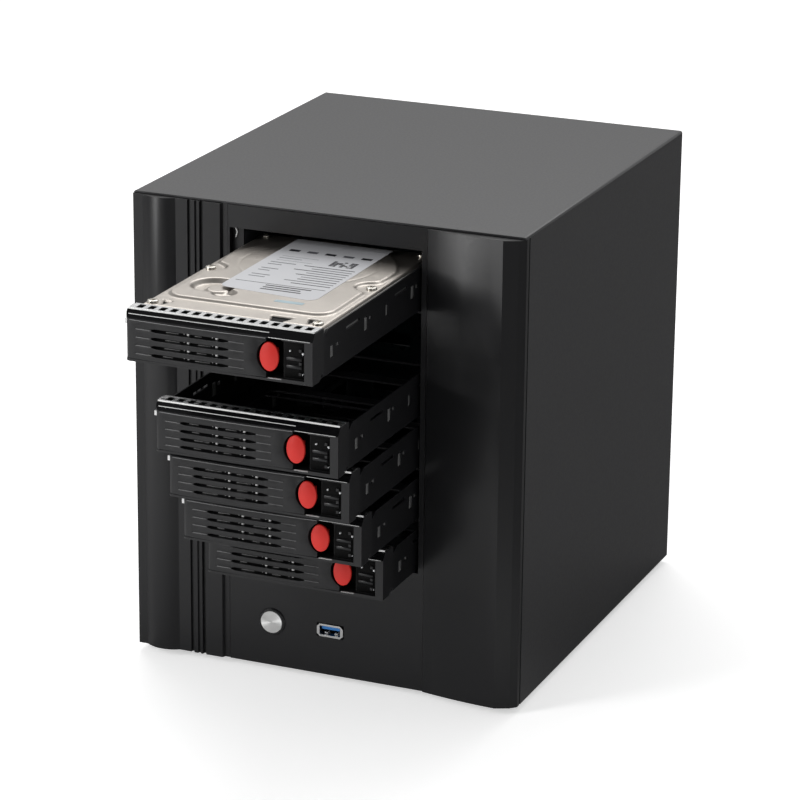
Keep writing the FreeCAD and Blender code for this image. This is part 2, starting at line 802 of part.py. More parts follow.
drive_left = bay - dim("drive_wide") / 2
drive_front = dim("closed_front") - dim("pull_1") + dim("drive_setback")
drive_bottom = bay_level(0) + 1.6
spindle = (drive_left + dim("drive_wide") / 2, drive_front + SPINDLE_BACK)
arm_pivot = (drive_left + ARM_PIVOT_IN, drive_front + ARM_PIVOT_BACK)


def make_drive_case():
    left, front, low = drive_left, drive_front, drive_bottom
    right = left + dim("drive_wide")
    back = front + dim("drive_long")
    casting = box(left, front, low + 1.7, right, back, low + CASTING_HIGH)
    well = rod("z", spindle[0], spindle[1], low + 6.0, 48.6, 20)
    bay_for_arm = box(left + 4.5, front + 7, low + 6.0, left + 74, front + 78, low + 26)
    plug_recess = box(left + 45, back - 4.5, low + 1, left + 91, back + 1, low + 9)
    post = rod("z", spindle[0], spindle[1], low + 5, 5.0, 2.6)
    shell = cut(casting, well, bay_for_arm, plug_recess)
    subpart("drive_base", fuse(shell, post))
    board = box(left + 3, front + 40, low, right - 3, back - 6, low + 1.6)
    subpart("drive_board", board)


def make_drive_cover():
    left, front = drive_left, drive_front
    right = left + dim("drive_wide")
    back = front + dim("drive_long")
    low = drive_bottom + CASTING_HIGH
    body = new_body("drive_cover")
    pad(body, "XY_Plane", low, low + 1.7, rectangle(left + 0.6, front + 0.6, right - 0.6, back - 0.6))
    raised = outline([
        (left + 9, front + 12), (right - 24, front + 12), (right - 9, front + 27),
        (right - 9, front + 62), (right - 14, front + 69), (right - 14, front + 77),
        (right - 6, front + 86), (right - 6, back - 16), (right - 16, back - 6),
        (left + 16, back - 6), (left + 6, back - 16), (left + 6, front + 86),
        (left + 14, front + 77), (left + 14, front + 69), (left + 9, front + 62),
    ], {1: 6.2, 7: 4.1, 9: 4.1})
    pad(body, "XY_Plane", low + 1.6, low + 3.1, raised)
    pivot_dish = rod("z", arm_pivot[0], arm_pivot[1], low + 2.0, 12.0, 5)
    small_dish = rod("z", left + 31.5, front + 25.5, low + 2.0, 6.2, 5)
    subpart("drive_cover", cut(body, pivot_dish, small_dish))
    label = new_body("drive_label")
    level = low + 3.1
    pad(label, "XY_Plane", level, level + 0.2, outline([
        (left + 33, front + 47), (left + 43, front + 26), (right - 16, front + 26),
        (right - 16, front + 128), (left + 21, front + 128), (left + 21, front + 56),
    ], {5: -2.0}))
    subpart("drive_label", label)


def make_drive_inside():
    low = drive_bottom
    x, y = spindle
    radius = dim("platter_radius")
    hub = rod("z", x, y, low + 7.8, 12.5, 11.0)
    lower = rod("z", x, y, low + 9.0, radius, 1.3)
    upper = rod("z", x, y, low + 15.0, radius, 1.3)
    subpart("drive_platters", fuse(hub, lower, upper))
    px, py = arm_pivot
    boss = rod("z", px, py, low + 7.0, 7.5, 14.5)
    pieces = [boss]
    for level in (11.6, 17.6):
        pieces.append(arm_blade(px, py, low + level))
    pieces.append(box(px - 8, py - 16, low + 12.0, px + 8, py, low + 16.0))
    subpart("drive_arm", fuse(*pieces))


def arm_blade(px, py, level):
    """One flat arm that reaches from the pivot over the platter's edge."""
    body = new_body("arm_blade")
    pad(body, "XY_Plane", level, level + 1.0, outline([
        (px - 6.5, py), (px + 6.5, py), (px + 5.5, py + 46), (px + 1.5, py + 50), (px - 1.0, py + 46),
    ]))
    return body


def make_drive_screws():
    """Cover screws at the corners and mid sides, let into the cover."""
    left, front = drive_left, drive_front
    right = left + dim("drive_wide")
    back = front + dim("drive_long")
    level = drive_bottom + CASTING_HIGH + 1.7
    screws = []
    for x in (left + 4.6, right - 4.6):
        for y in (front + 5.2, front + 73.0, back - 5.0):
            head = rod("z", x, y, level, SCREW_HEAD_RADIUS, 1.2)
            drive_hole = rod("z", x, y, level + 0.5, 1.1, 2)
            screws.append(cut(head, drive_hole))
    subpart("drive_screws", group(screws))


# ---- electronics and cooling -----------------------------------------------------------------------

FAN_BORE = 57.5
FAN_HUB = 20.0
FAN_TIP = 55.0
ROTOR_DEEP = 18.5
BLADES = 7
GUARD_WIRE = 0.8
GUARD_RINGS = 4
PSU_SLOTS = 9
FIN_COUNT = 12
FIN_PITCH = 6.2
# The sockets on the board's rear edge: height above the board's bottom, height of each, and reach.
SOCKET_ROWS = ((10.0, 16.0, 14.0), (32.0, 16.0, 30.0), (54.0, 16.0, 14.0), (76.0, 16.0, 14.0),
               (98.0, 13.5, 26.0), (128.0, 13.0, 13.0))


def make_fan():
    half = dim("fan_size") / 2
    high = dim("fan_high")
    back = panel_front
    front = back - dim("fan_deep")
    shell = box(bay - half, front, high - half, bay + half, back, high + half)
    bore = rod("y", bay, front - 1, high, FAN_BORE, 40)
    ring = cut(shell, bore)
    spokes = [rod("y", bay, back - 3.0, high, FAN_HUB, 3.0)]
    spokes.append(box(bay - 58, back - 3, high - 2, bay + 58, back, high + 2))
    spokes.append(box(bay - 2, back - 3, high - 58, bay + 2, back, high + 58))
    subpart("fan_frame", fuse(ring, *spokes))
    subpart("fan_rotor", make_rotor(bay, front + 2, high, FAN_HUB, FAN_TIP, ROTOR_DEEP, BLADES))
    guard = []
    for number in range(GUARD_RINGS):
        wire = doc.addObject("Part::Torus", "ring")
        bind(wire, "Radius1", 16.0 + 13.0 * number)
        bind(wire, "Radius2", GUARD_WIRE)
        guard.append(put(wire, bay, panel_back + 1.8, high, TURNS["y"]))
    reach = FAN_OPENING_RADIUS
    guard.append(rod("x", bay - reach, panel_back + 0.85, high, GUARD_WIRE, 2 * reach))
    guard.append(rod("z", bay, panel_back + 0.85, high - reach, GUARD_WIRE, 2 * reach))
    subpart("fan_guard", fuse(*guard))


def make_rotor(x, y, z, hub_radius, tip_radius, deep, count):
    """A fan rotor: a closed hub with pitched blades."""
    pieces = [rod("y", x, y, z, hub_radius, deep)]
    for number in range(count):
        angle = 360.0 * number / count
        blade = doc.addObject("Part::Box", "blade")
        bind(blade, "Length", tip_radius - hub_radius + 2.0)
        bind(blade, "Width", deep * 1.02)
        bind(blade, "Height", 1.2)
        turn = FreeCAD.Rotation(Vector(0, 1, 0), -angle)
        pitch = FreeCAD.Rotation(Vector(1, 0, 0), 42)
        whole = turn * pitch
        reach = turn.multVec(Vector(hub_radius - 2.0, 0, 0))
        drop = whole.multVec(Vector(0, -deep * 0.51, -0.6))
        middle = Vector(0, deep * 0.5, 0)
        start = reach + drop + middle
        put(blade, size(x) + start.x, size(y) + start.y, size(z) + start.z, whole)
        pieces.append(blade)
    return fuse(*pieces)


def make_power_supply():
    half = dim("psu_wide") / 2
    low = case_bottom + skin
    high = low + dim("psu_high")
    back = panel_front
    front = back - dim("psu_long")
    shell = box(bay - half, front, low, bay + half, back, high)
    hollow = box(bay - half + 1, front + 1, low + 1, bay + half - 1, back - 1, high - 1)
    middle = low + dim("psu_high") / 2
    fan_hole = rod("y", bay - 19, back - 3, middle, 18.0, 6)
    inlet_hole = box(bay + 6.5, back - 3, middle - 10, bay + 34.5, back + 1, middle + 10)
    rows = []
    for column in range(PSU_SLOTS):
        x = bay - 32 + 8.0 * column
        rows.append(box(x, front - 1, middle - 12, x + 4, front + 2, middle + 12))
    subpart("psu_case", cut(shell, hollow, fan_hole, inlet_hole, *rows))
    subpart("psu_fan_rotor", make_rotor(bay - 19, back - 13, middle, 8.0, 17.0, 10.0, BLADES))
    body = box(bay + 6.8, back - 22, middle - 9.7, bay + 34.2, back + 0.5, middle + 9.7)
    mouth = box(bay + 8.5, back - 17, middle - 8.0, bay + 32.5, back + 1, middle + 8.0)
    pins = []
    for x, z in ((13.5, -1.5), (20.5, 2.5), (27.5, -1.5)):
        pins.append(box(bay + x - 1, back - 18, middle + z - 2, bay + x + 1, back - 8, middle + z + 2))
    subpart("mains_inlet", fuse(cut(body, mouth), *pins))


def make_mainboard():
    x = dim("board_side")
    low = dim("board_bottom")
    back = panel_front - 2
    front = back - dim("board_size")
    top = low + dim("board_size")
    subpart("mainboard", box(x, front, low, x + dim("board_sheet"), back, top))
    base = box(x - 6, front + 60, low + 60, x, front + 130, low + 130)
    fins = []
    for row in range(FIN_COUNT):
        z = low + 60.5 + FIN_PITCH * row
        fins.append(box(x - 30, front + 60, z, x - 5, front + 130, z + 1.2))
    subpart("cpu_heatsink", fuse(base, *fins))
    subpart("io_sockets", group(board_sockets(x, back, low)))


def board_sockets(x, back, low):
    """Socket housings along the board's rear edge, each open to the back."""
    sockets = []
    for along, tall, reach in SOCKET_ROWS:
        z = low + along
        shell = box(x - reach, back - 14, z, x, back + 1.6, z + tall)
        mouth = box(x - reach + 1.2, back - 10, z + 1.2, x - 1.2, back + 3, z + tall - 1.2)
        sockets.append(cut(shell, mouth))
    return sockets


def make_io_shield():
    """The thin plate in the rear window, pierced for each socket."""
    x = dim("board_side")
    low = dim("board_bottom")
    side = x + 1.3
    plate_low = low + 5.2
    plate = box(side - 44.05, panel_front + 0.2, plate_low, side, panel_back, plate_low + 158.35)
    holes = []
    for along, tall, reach in SOCKET_ROWS:
        z = low + along
        holes.append(box(x - reach - 0.2, panel_front - 1, z - 0.2, x + 0.1, panel_back + 1,
                         z + tall + 0.2))
    subpart("io_shield", cut(plate, *holes))


# ---- front controls --------------------------------------------------------------------------------


def make_controls():
    x = dim("button_centre")
    z = dim("controls_high")
    face = bezel_face
    radius = dim("button_radius")
    flange = cone("y", x, face - 1.2, z, dim("ring_radius") - 1.0, dim("ring_radius"), 1.2)
    barrel = rod("y", x, face, z, 7.6, 16)
    bore = rod("y", x, face - 2, z, radius + 0.3, 12)
    subpart("power_ring", cut(fuse(flange, barrel), bore))
    cap = rod("y", x, face - 1.5, z, radius, 8.0)
    subpart("power_button", cap)
    usb = dim("usb_centre")
    half = dim("usb_half")
    rim = new_body("usb_rim")
    pad(rim, "XZ_Plane", face - 0.6, face + 1.4, outline([
        (usb - half + 1.7, z - 3.75), (usb + half - 1.7, z - 3.75), (usb + half, z - 2.05),
        (usb + half, z + 2.05), (usb + half - 1.7, z + 3.75), (usb - half + 1.7, z + 3.75),
        (usb - half, z + 2.05), (usb - half, z - 2.05),
    ]))
    tube = box(usb - 6.7, face, z - 3.1, usb + 6.7, face + 15, z + 3.1)
    mouth = box(usb - 6.2, face - 2, z - 2.6, usb + 6.2, face + 13, z + 2.6)
    subpart("usb_shell", cut(fuse(rim, tube), mouth))
    tongue = box(usb - 5.5, face + 1.0, z + 0.3, usb + 5.5, face + 12, z + 2.1)
    block = box(usb - 6.2, face + 10, z - 2.6, usb + 6.2, face + 13, z + 2.6)
    subpart("usb_tongue", fuse(tongue, block))


def make_screws():
    """Slotted thumb screws that hold the cover's rear flange."""
    screws = []
    for side in (-1, 1):
        for z in (24.0, 137.0, 250.0):
            x = (case_half - 4.0) * side
            head = rod("y", x, case_back, z, 3.2, 2.4)
            slot = box(x - 3.6, case_back + 1.4, z - 0.5, x + 3.6, case_back + 4, z + 0.5)
            screws.append(cut(head, slot))
    subpart("case_screws", group(screws))


make_base_pan()
make_front_plate()
make_rear_panel()
make_cover()
make_bezel()
make_feet()
make_cage_wall("cage_left_wall", -1)
make_cage_wall("cage_right_wall", 1)
make_cage_plates()
make_guides()
make_backplane()
for tray_number, bay_index in TRAY_BAYS.items():
    make_tray(tray_number, bay_index)
make_drive_case()
make_drive_cover()
make_drive_inside()
make_drive_screws()
make_fan()
make_power_supply()
make_mainboard()
make_io_shield()
make_controls()
make_screws()
doc.recompute()

for thing in doc.Objects:
    if "Invalid" in thing.State or "Error" in thing.State:
        raise RuntimeError(f"{thing.Name} ({thing.Label}) failed: {thing.State}")
os.makedirs("parts", exist_ok=True)
for thing in SUBPARTS:
    if thing.Shape.isNull() or not thing.Shape.isValid():
        raise RuntimeError(f"{thing.Label} has no valid shape")
    thing.Shape.exportStep(f"parts/{thing.Label}.step")
print(len(SUBPARTS), "sub-parts written")
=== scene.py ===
import json
import math
import random

import bmesh
import bpy
from mathutils import Matrix, Vector


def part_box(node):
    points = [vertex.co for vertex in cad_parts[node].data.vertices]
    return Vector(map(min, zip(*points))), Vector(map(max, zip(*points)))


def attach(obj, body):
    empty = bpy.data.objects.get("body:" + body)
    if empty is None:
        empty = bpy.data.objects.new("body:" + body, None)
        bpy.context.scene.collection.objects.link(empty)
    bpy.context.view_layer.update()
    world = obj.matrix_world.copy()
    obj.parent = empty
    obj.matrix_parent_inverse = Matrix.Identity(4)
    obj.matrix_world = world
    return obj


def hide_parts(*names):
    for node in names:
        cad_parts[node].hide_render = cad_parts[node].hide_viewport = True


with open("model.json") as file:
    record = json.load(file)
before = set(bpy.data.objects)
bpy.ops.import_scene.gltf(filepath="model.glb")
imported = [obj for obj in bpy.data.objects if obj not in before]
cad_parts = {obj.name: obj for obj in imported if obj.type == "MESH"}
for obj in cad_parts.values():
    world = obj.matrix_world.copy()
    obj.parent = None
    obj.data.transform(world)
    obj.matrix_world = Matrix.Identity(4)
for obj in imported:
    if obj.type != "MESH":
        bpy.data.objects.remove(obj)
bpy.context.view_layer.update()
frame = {"nodes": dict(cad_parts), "record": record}
NODES = frame["nodes"]
MM = 0.001
TRAYS = (1, 2, 3, 4, 5)


# ---- camera, floor and lights ----------------------------------------------------------------------
# Places and sizes are in metres here, apart from the lens and its sensor.

CAMERA_AT = (0.7244, -1.7584, 0.7587)
CAMERA_ANGLES = (22.66, 18.40, 0.61)          # yaw, pitch and roll in degrees
LENS = 155.6                  # millimetres
SENSOR_WIDE = 36              # millimetres
FARTHEST_SEEN = 30
STUDIO_CENTRE = (0, 0, 0.13)
FLOOR_REACH = 12.0
FLOOR_COLOUR = (0.93, 0.93, 0.93)
FLOOR_ROUGH = 0.6
FLOOR_GLOW = 0.5
CARD_REACH = 3.0
CARD_LEVEL = 0.0004
CARD_ROUGH = 0.8
CARD_DIM = 0.15
CARD_BRIGHT = 0.95
CARD_GLOW = 0.12
CARD_AHEAD = (-0.30, 0.0)     # the Y where the card starts to dim, and where it has dimmed
CARD_ASIDE = (0.30, 0.48)     # the same for X, where Y is 0
CARD_SKEW = 0.42              # how much of Y is taken from X before that
SKY_TURN = (-0.5, 0.8)        # where the sky starts to brighten from front to back, and where it ends
SKY_IN_FRONT = 0.16
SKY_BEHIND = 0.62
# Each soft box: its name, place, width, height and watts.
LIGHTS = (
    ("overhead", (-0.3, 0.9, 1.6), 1.6, 1.2, 17),
    ("front_left", (-1.3, -1.6, 1.0), 0.5, 1.2, 20),
    ("front_right", (1.5, -1.7, 1.2), 0.4, 1.2, 3.5),
)


def add_ramp(tree, source, start, end, low, high):
    """A smooth step from one value to another, as a pattern goes from start to end."""
    ramp = tree.nodes.new("ShaderNodeMapRange")
    ramp.interpolation_type = "SMOOTHSTEP"
    for name, value in (("From Min", start), ("From Max", end), ("To Min", low), ("To Max", high)):
        ramp.inputs[name].default_value = value
    tree.links.new(source, ramp.inputs["Value"])
    return ramp.outputs["Result"]


def add_math(tree, operation, *values):
    """Values combined; each may be a plain number or another node's output."""
    node = tree.nodes.new("ShaderNodeMath")
    node.operation = operation
    for index, value in enumerate(values):
        if isinstance(value, (int, float)):
            node.inputs[index].default_value = value
        else:
            tree.links.new(value, node.inputs[index])
    return node.outputs["Value"]


def split_place(tree, space):
    """The X, Y and Z of one of the shader's coordinate sets."""
    split = tree.nodes.new("ShaderNodeSeparateXYZ")
    tree.links.new(tree.nodes.new("ShaderNodeTexCoord").outputs[space], split.inputs["Vector"])
    return split.outputs


def make_camera():
    """A long lens to the right of the front and above it."""
    yaw, pitch, roll = (math.radians(angle) for angle in CAMERA_ANGLES)
    back = Vector((math.sin(yaw) * math.cos(pitch), -math.cos(yaw) * math.cos(pitch), math.sin(pitch)))
    level = Vector((math.cos(yaw), math.sin(yaw), 0))
    upright = back.cross(level)
    right = level * math.cos(roll) + upright * math.sin(roll)
    up = upright * math.cos(roll) - level * math.sin(roll)
    data = bpy.data.cameras.new("camera")
    data.lens = LENS
    data.sensor_width = SENSOR_WIDE
    data.clip_end = FARTHEST_SEEN
    camera = bpy.data.objects.new("camera", data)
    turn = Matrix((right, up, back)).transposed().to_4x4()
    camera.matrix_world = Matrix.Translation(Vector(CAMERA_AT)) @ turn
    bpy.context.scene.collection.objects.link(camera)
    bpy.context.scene.camera = camera


def make_light(name, at, width, height, watts):
    """A soft box that faces the object."""
    data = bpy.data.lights.new(name, "AREA")
    data.shape = "RECTANGLE"
    data.size = width
    data.size_y = height
    data.energy = watts
    light = bpy.data.objects.new(name, data)
    light.location = at
    light.rotation_euler = (Vector(STUDIO_CENTRE) - Vector(at)).to_track_quat("-Z", "Y").to_euler()
    bpy.context.scene.collection.objects.link(light)


def make_sheet(name, reach, level, colour, rough, glow=0.0):
    """A flat square on or above the ground."""
    mesh = bpy.data.meshes.new(name)
    mesh.from_pydata([(-reach, -reach, level), (reach, -reach, level), (reach, reach, level),
                      (-reach, reach, level)], [], [(0, 1, 2, 3)])
    sheet = bpy.data.objects.new(name, mesh)
    bpy.context.scene.collection.objects.link(sheet)
    material = bpy.data.materials.new(name)
    material.use_nodes = True
    shader = material.node_tree.nodes["Principled BSDF"]
    shader.inputs["Base Color"].default_value = (*colour, 1)
    shader.inputs["Roughness"].default_value = rough
    shader.inputs["Emission Color"].default_value = (1, 1, 1, 1)
    shader.inputs["Emission Strength"].default_value = glow
    mesh.materials.append(material)
    return sheet


def make_floor():
    """A pale floor, and a graded card that only glossy surfaces see in its place."""
    make_sheet("floor", FLOOR_REACH, 0.0, FLOOR_COLOUR, FLOOR_ROUGH, FLOOR_GLOW)
    card = make_sheet("graded_card", CARD_REACH, CARD_LEVEL, FLOOR_COLOUR, CARD_ROUGH)
    card.visible_camera = False
    card.visible_diffuse = False
    card.visible_shadow = False
    grade_card(card.data.materials[0].node_tree)


def grade_card(tree):
    """Bright in front of the object and to its left, and dim behind it and to its right."""
    place = split_place(tree, "Object")
    ahead = add_ramp(tree, place["Y"], *CARD_AHEAD, 1.0, 0.0)
    across = add_math(tree, "SUBTRACT", place["X"], add_math(tree, "MULTIPLY", place["Y"], CARD_SKEW))
    aside = add_ramp(tree, across, *CARD_ASIDE, 1.0, 0.0)
    share = add_math(tree, "MULTIPLY", ahead, aside)
    level = add_math(tree, "MULTIPLY_ADD", share, CARD_BRIGHT - CARD_DIM, CARD_DIM)
    shader = tree.nodes["Principled BSDF"]
    tree.links.new(level, shader.inputs["Base Color"])
    tree.links.new(level, shader.inputs["Emission Color"])
    shader.inputs["Emission Strength"].default_value = CARD_GLOW


def make_world():
    """A soft sky that is brighter behind the object than in front of it."""
    world = bpy.data.worlds.new("studio")
    world.use_nodes = True
    tree = world.node_tree
    sky = tree.nodes["Background"]
    sky.inputs["Color"].default_value = (1, 1, 1, 1)
    strength = add_ramp(tree, split_place(tree, "Generated")["Y"], *SKY_TURN, SKY_IN_FRONT, SKY_BEHIND)
    tree.links.new(strength, sky.inputs["Strength"])
    bpy.context.scene.world = world


def make_studio():
    """The soft boxes, the sky and the floor."""
    for light in LIGHTS:
        make_light(*light)
    make_world()
    make_floor()
    bpy.context.scene.view_settings.view_transform = "Standard"


# ---- materials -------------------------------------------------------------------------------------


class Surface:
    """A material under construction, with short ways to add nodes and join them."""

    def __init__(self, name):
        self.material = bpy.data.materials.new(name)
        self.material.use_nodes = True
        self.nodes = self.material.node_tree.nodes
        self.links = self.material.node_tree.links
        self.shader = self.nodes["Principled BSDF"]
        self.place = self.add("ShaderNodeTexCoord").outputs["Object"]

    def add(self, kind, **values):
        """A new node with its settings."""
        node = self.nodes.new(kind)
        for name, value in values.items():
            setattr(node, name, value)
        return node

    def join(self, source, target):
        """A link from an output to an input."""
        self.links.new(source, target)

    def set(self, name, value):
        """A plain value on the shader's own socket."""
        self.shader.inputs[name].default_value = value

    def math(self, operation, a, b):
        """Two values combined; either may be a plain number."""
        return add_math(self.material.node_tree, operation, a, b)

    def mapped(self, stretch=(1, 1, 1), shift=(0, 0, 0)):
        """Object coordinates, stretched after a shift."""
        node = self.add("ShaderNodeMapping")
        node.inputs["Scale"].default_value = stretch
        node.inputs["Location"].default_value = tuple(-s * k for s, k in zip(shift, stretch))
        self.join(self.place, node.inputs["Vector"])
        return node.outputs["Vector"]

    def noise(self, scale, detail=3.0, stretch=None, roughness=0.5):
        """A noise pattern, with its features about 1 / scale metres across."""
        node = self.add("ShaderNodeTexNoise")
        node.inputs["Scale"].default_value = scale
        node.inputs["Detail"].default_value = detail
        node.inputs["Roughness"].default_value = roughness
        self.join(self.mapped(stretch) if stretch else self.place, node.inputs["Vector"])
        return node.outputs["Fac"]

    def spread(self, source, low, high, start=0.3, end=0.7):
        """A pattern brought to a range of values."""
        node = self.add("ShaderNodeMapRange")
        self.join(source, node.inputs["Value"])
        for name, value in (("From Min", start), ("From Max", end), ("To Min", low), ("To Max", high)):
            node.inputs[name].default_value = value
        return node.outputs["Result"]

    def blend(self, factor, low, high):
        """A colour between two; either may be another node's."""
        node = self.add("ShaderNodeMix", data_type="RGBA")
        self.join(factor, node.inputs["Factor"])
        for socket, value in (("A", low), ("B", high)):
            target = [s for s in node.inputs if s.name == socket and s.type == "RGBA"][0]
            if isinstance(value, tuple):
                target.default_value = (*value, 1)
            else:
                self.join(value, target)
        return [s for s in node.outputs if s.type == "RGBA"][0]

    def bump(self, height, depth):
        """Bumps whose height is depth metres."""
        node = self.add("ShaderNodeBump")
        node.inputs["Distance"].default_value = depth
        self.join(height, node.inputs["Height"])
        return node.outputs["Normal"]

    def edges(self, radius):
        """1 near an edge and 0 on the flat, broken up by noise."""
        bevel = self.add("ShaderNodeBevel", samples=4)
        bevel.inputs["Radius"].default_value = radius
        geometry = self.add("ShaderNodeNewGeometry")
        dot = self.add("ShaderNodeVectorMath", operation="DOT_PRODUCT")
        self.join(bevel.outputs["Normal"], dot.inputs[0])
        self.join(geometry.outputs["Normal"], dot.inputs[1])
        near = self.spread(dot.outputs["Value"], 1.0, 0.0, 0.80, 0.995)
        return self.math("MULTIPLY", near, self.spread(self.noise(900, 2), 0.35, 1.0))


EDGE_WEAR_AND_SHEEN_REACH = 0.0004      # how far from an edge a coating is lighter, in metres: partly rubbed wear, partly a painted highlight
PLASTIC_BLACK = (0.0105, 0.0105, 0.0115)
TRAY_PLASTIC_ROUGH = 0.36
BEVEL_NORMAL_UP = 0.61        # the Z of the normal on the tray frames' sloping bevel
BEVEL_NORMAL_NEAR = (0.16, 0.05)      # how far from that the painted dark reflection and the gloss start, and where they are full
BEVEL_PAINTED_DARK = (0.0025, 0.0025, 0.003)
BEVEL_ROUGH = 0.12


def tinted(colour, factor):
    """A colour made lighter or darker."""
    return tuple(min(1.0, c * factor) for c in colour)


def coated(name, colour, rough, grain=1500, depth=0.000012, wear_and_sheen=0.4, specular=0.5):
    """Painted or moulded surface: fine grain, slight mottling, and edges a little lighter, partly as rubbed
    wear and partly as a painted highlight.
    """
    s = Surface(name)
    cloud = s.spread(s.noise(30, 5), 0.0, 1.0)
    base = s.blend(cloud, tinted(colour, 0.97), tinted(colour, 1.03))
    # The lighter edge colour is partly wear and partly a painted highlight along the edges.
    worn_and_lit = tuple(min(1.0, c * 2.0 + 0.02) for c in colour)
    rubbed_and_lit = s.math("MULTIPLY", s.edges(EDGE_WEAR_AND_SHEEN_REACH), wear_and_sheen)
    s.join(s.blend(rubbed_and_lit, base, worn_and_lit), s.shader.inputs["Base Color"])
    s.join(s.spread(s.noise(700, 6), rough - 0.02, rough + 0.03), s.shader.inputs["Roughness"])
    s.join(s.bump(s.noise(grain, 3, roughness=0.6), depth), s.shader.inputs["Normal"])
    s.set("Specular IOR Level", specular)
    return s.material


def tray_moulding(name):
    """The trays' matt black plastic."""
    return coated(name, PLASTIC_BLACK, TRAY_PLASTIC_ROUGH, grain=2400, wear_and_sheen=0.9, specular=0.4)


def add_mix(tree, kind, factor, socket, second):
    """Mixes what reaches a shader's socket with a plain second value."""
    mix = tree.nodes.new("ShaderNodeMix")
    mix.data_type = kind
    tree.links.new(factor, mix.inputs["Factor"])
    first, other = [slot for slot in mix.inputs if slot.type == socket.type and slot.name in ("A", "B")]
    tree.links.new(socket.links[0].from_socket, first)
    other.default_value = second
    tree.links.new([slot for slot in mix.outputs if slot.type == socket.type][0], socket)


def frame_plastic_shaded_bevel():
    """Tray plastic whose sloping upper bevel is glossier than its matt front, and darker in colour as a
    painted dark reflection.
    """
    material = tray_moulding("frame_plastic_shaded_bevel")
    tree = material.node_tree
    shader = tree.nodes["Principled BSDF"]
    away = add_math(tree, "SUBTRACT", split_place(tree, "Normal")["Z"], BEVEL_NORMAL_UP)
    painted_dark_bevel = add_ramp(tree, add_math(tree, "ABSOLUTE", away), *BEVEL_NORMAL_NEAR, 0.0, 1.0)
    # The bevel's darker colour, chosen by the direction of its normal, is a painted dark reflection.
    add_mix(tree, "RGBA", painted_dark_bevel, shader.inputs["Base Color"], (*BEVEL_PAINTED_DARK, 1))
    add_mix(tree, "FLOAT", painted_dark_bevel, shader.inputs["Roughness"], BEVEL_ROUGH)
    return material


def metal(name, colour, rough, stretch=(1, 1, 1), grain=900, depth=0.000008, smear=0.12):
    """Bare or plated metal: fine scratches, patches of duller finish and faint stains."""
    s = Surface(name)
    s.set("Metallic", 1.0)
    stain = s.spread(s.noise(45, 5), 0.0, 1.0)
    s.join(s.blend(stain, tinted(colour, 0.88), colour), s.shader.inputs["Base Color"])
    scratch = s.noise(grain, 4, stretch=stretch, roughness=0.65)
    s.join(s.spread(scratch, rough - smear * 0.5, rough + smear), s.shader.inputs["Roughness"])
    s.join(s.bump(scratch, depth), s.shader.inputs["Normal"])
    return s.material


def spun_metal(name, colour, rough, centre):
    """Metal turned on a lathe: fine rings about an axis along Y through a point."""
    s = Surface(name)
    s.set("Metallic", 1.0)
    rings = s.add("ShaderNodeTexWave", wave_type="RINGS", rings_direction="Y")
    rings.inputs["Scale"].default_value = 900
    rings.inputs["Distortion"].default_value = 1.5
    rings.inputs["Detail"].default_value = 3
    s.join(s.mapped(shift=centre), rings.inputs["Vector"])
    fac = rings.outputs["Fac"]
    s.join(s.blend(s.noise(300, 4), tinted(colour, 0.9), colour), s.shader.inputs["Base Color"])
    s.join(s.spread(fac, rough - 0.05, rough + 0.08, 0, 1), s.shader.inputs["Roughness"])
    s.join(s.bump(fac, 0.000003), s.shader.inputs["Normal"])
    s.set("Anisotropic", 0.85)
    s.join(s.add("ShaderNodeTangent", direction_type="RADIAL", axis="Y").outputs["Tangent"],
           s.shader.inputs["Tangent"])
    return s.material


def smooth_part(name, colour, rough, coat=0.0):
    """A small glossy part with a little variation."""
    s = Surface(name)
    s.set("Coat Weight", coat)
    cloud = s.spread(s.noise(120, 4), 0.0, 1.0)
    s.join(s.blend(cloud, tinted(colour, 0.88), tinted(colour, 1.06)), s.shader.inputs["Base Color"])
    s.join(s.spread(s.noise(400, 4), rough - 0.05, rough + 0.08), s.shader.inputs["Roughness"])
    s.join(s.bump(s.noise(1800, 2), 0.000008), s.shader.inputs["Normal"])
    return s.material


def circuit_board():
    """Dark solder mask over faint copper tracks that run along the board."""
    s = Surface("circuit_board")
    tracks = s.add("ShaderNodeTexBrick", offset=0.37)
    tracks.inputs["Scale"].default_value = 160
    tracks.inputs["Mortar Size"].default_value = 0.06
    tracks.inputs["Color1"].default_value = (0.004, 0.009, 0.012, 1)
    tracks.inputs["Color2"].default_value = (0.006, 0.012, 0.015, 1)
    tracks.inputs["Mortar"].default_value = (0.012, 0.026, 0.030, 1)
    s.join(s.mapped((1.0, 1.0, 0.45)), tracks.inputs["Vector"])
    s.join(tracks.outputs["Color"], s.shader.inputs["Base Color"])
    s.join(s.spread(s.noise(300, 4), 0.25, 0.4), s.shader.inputs["Roughness"])
    s.join(s.bump(tracks.outputs["Fac"], 0.00003), s.shader.inputs["Normal"])
    s.set("Coat Weight", 0.3)
    return s.material


def button_centre():
    """The middle of the power button's cap, in metres."""
    low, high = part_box("power_button")
    return tuple((a + b) / 2 for a, b in zip(low, high))


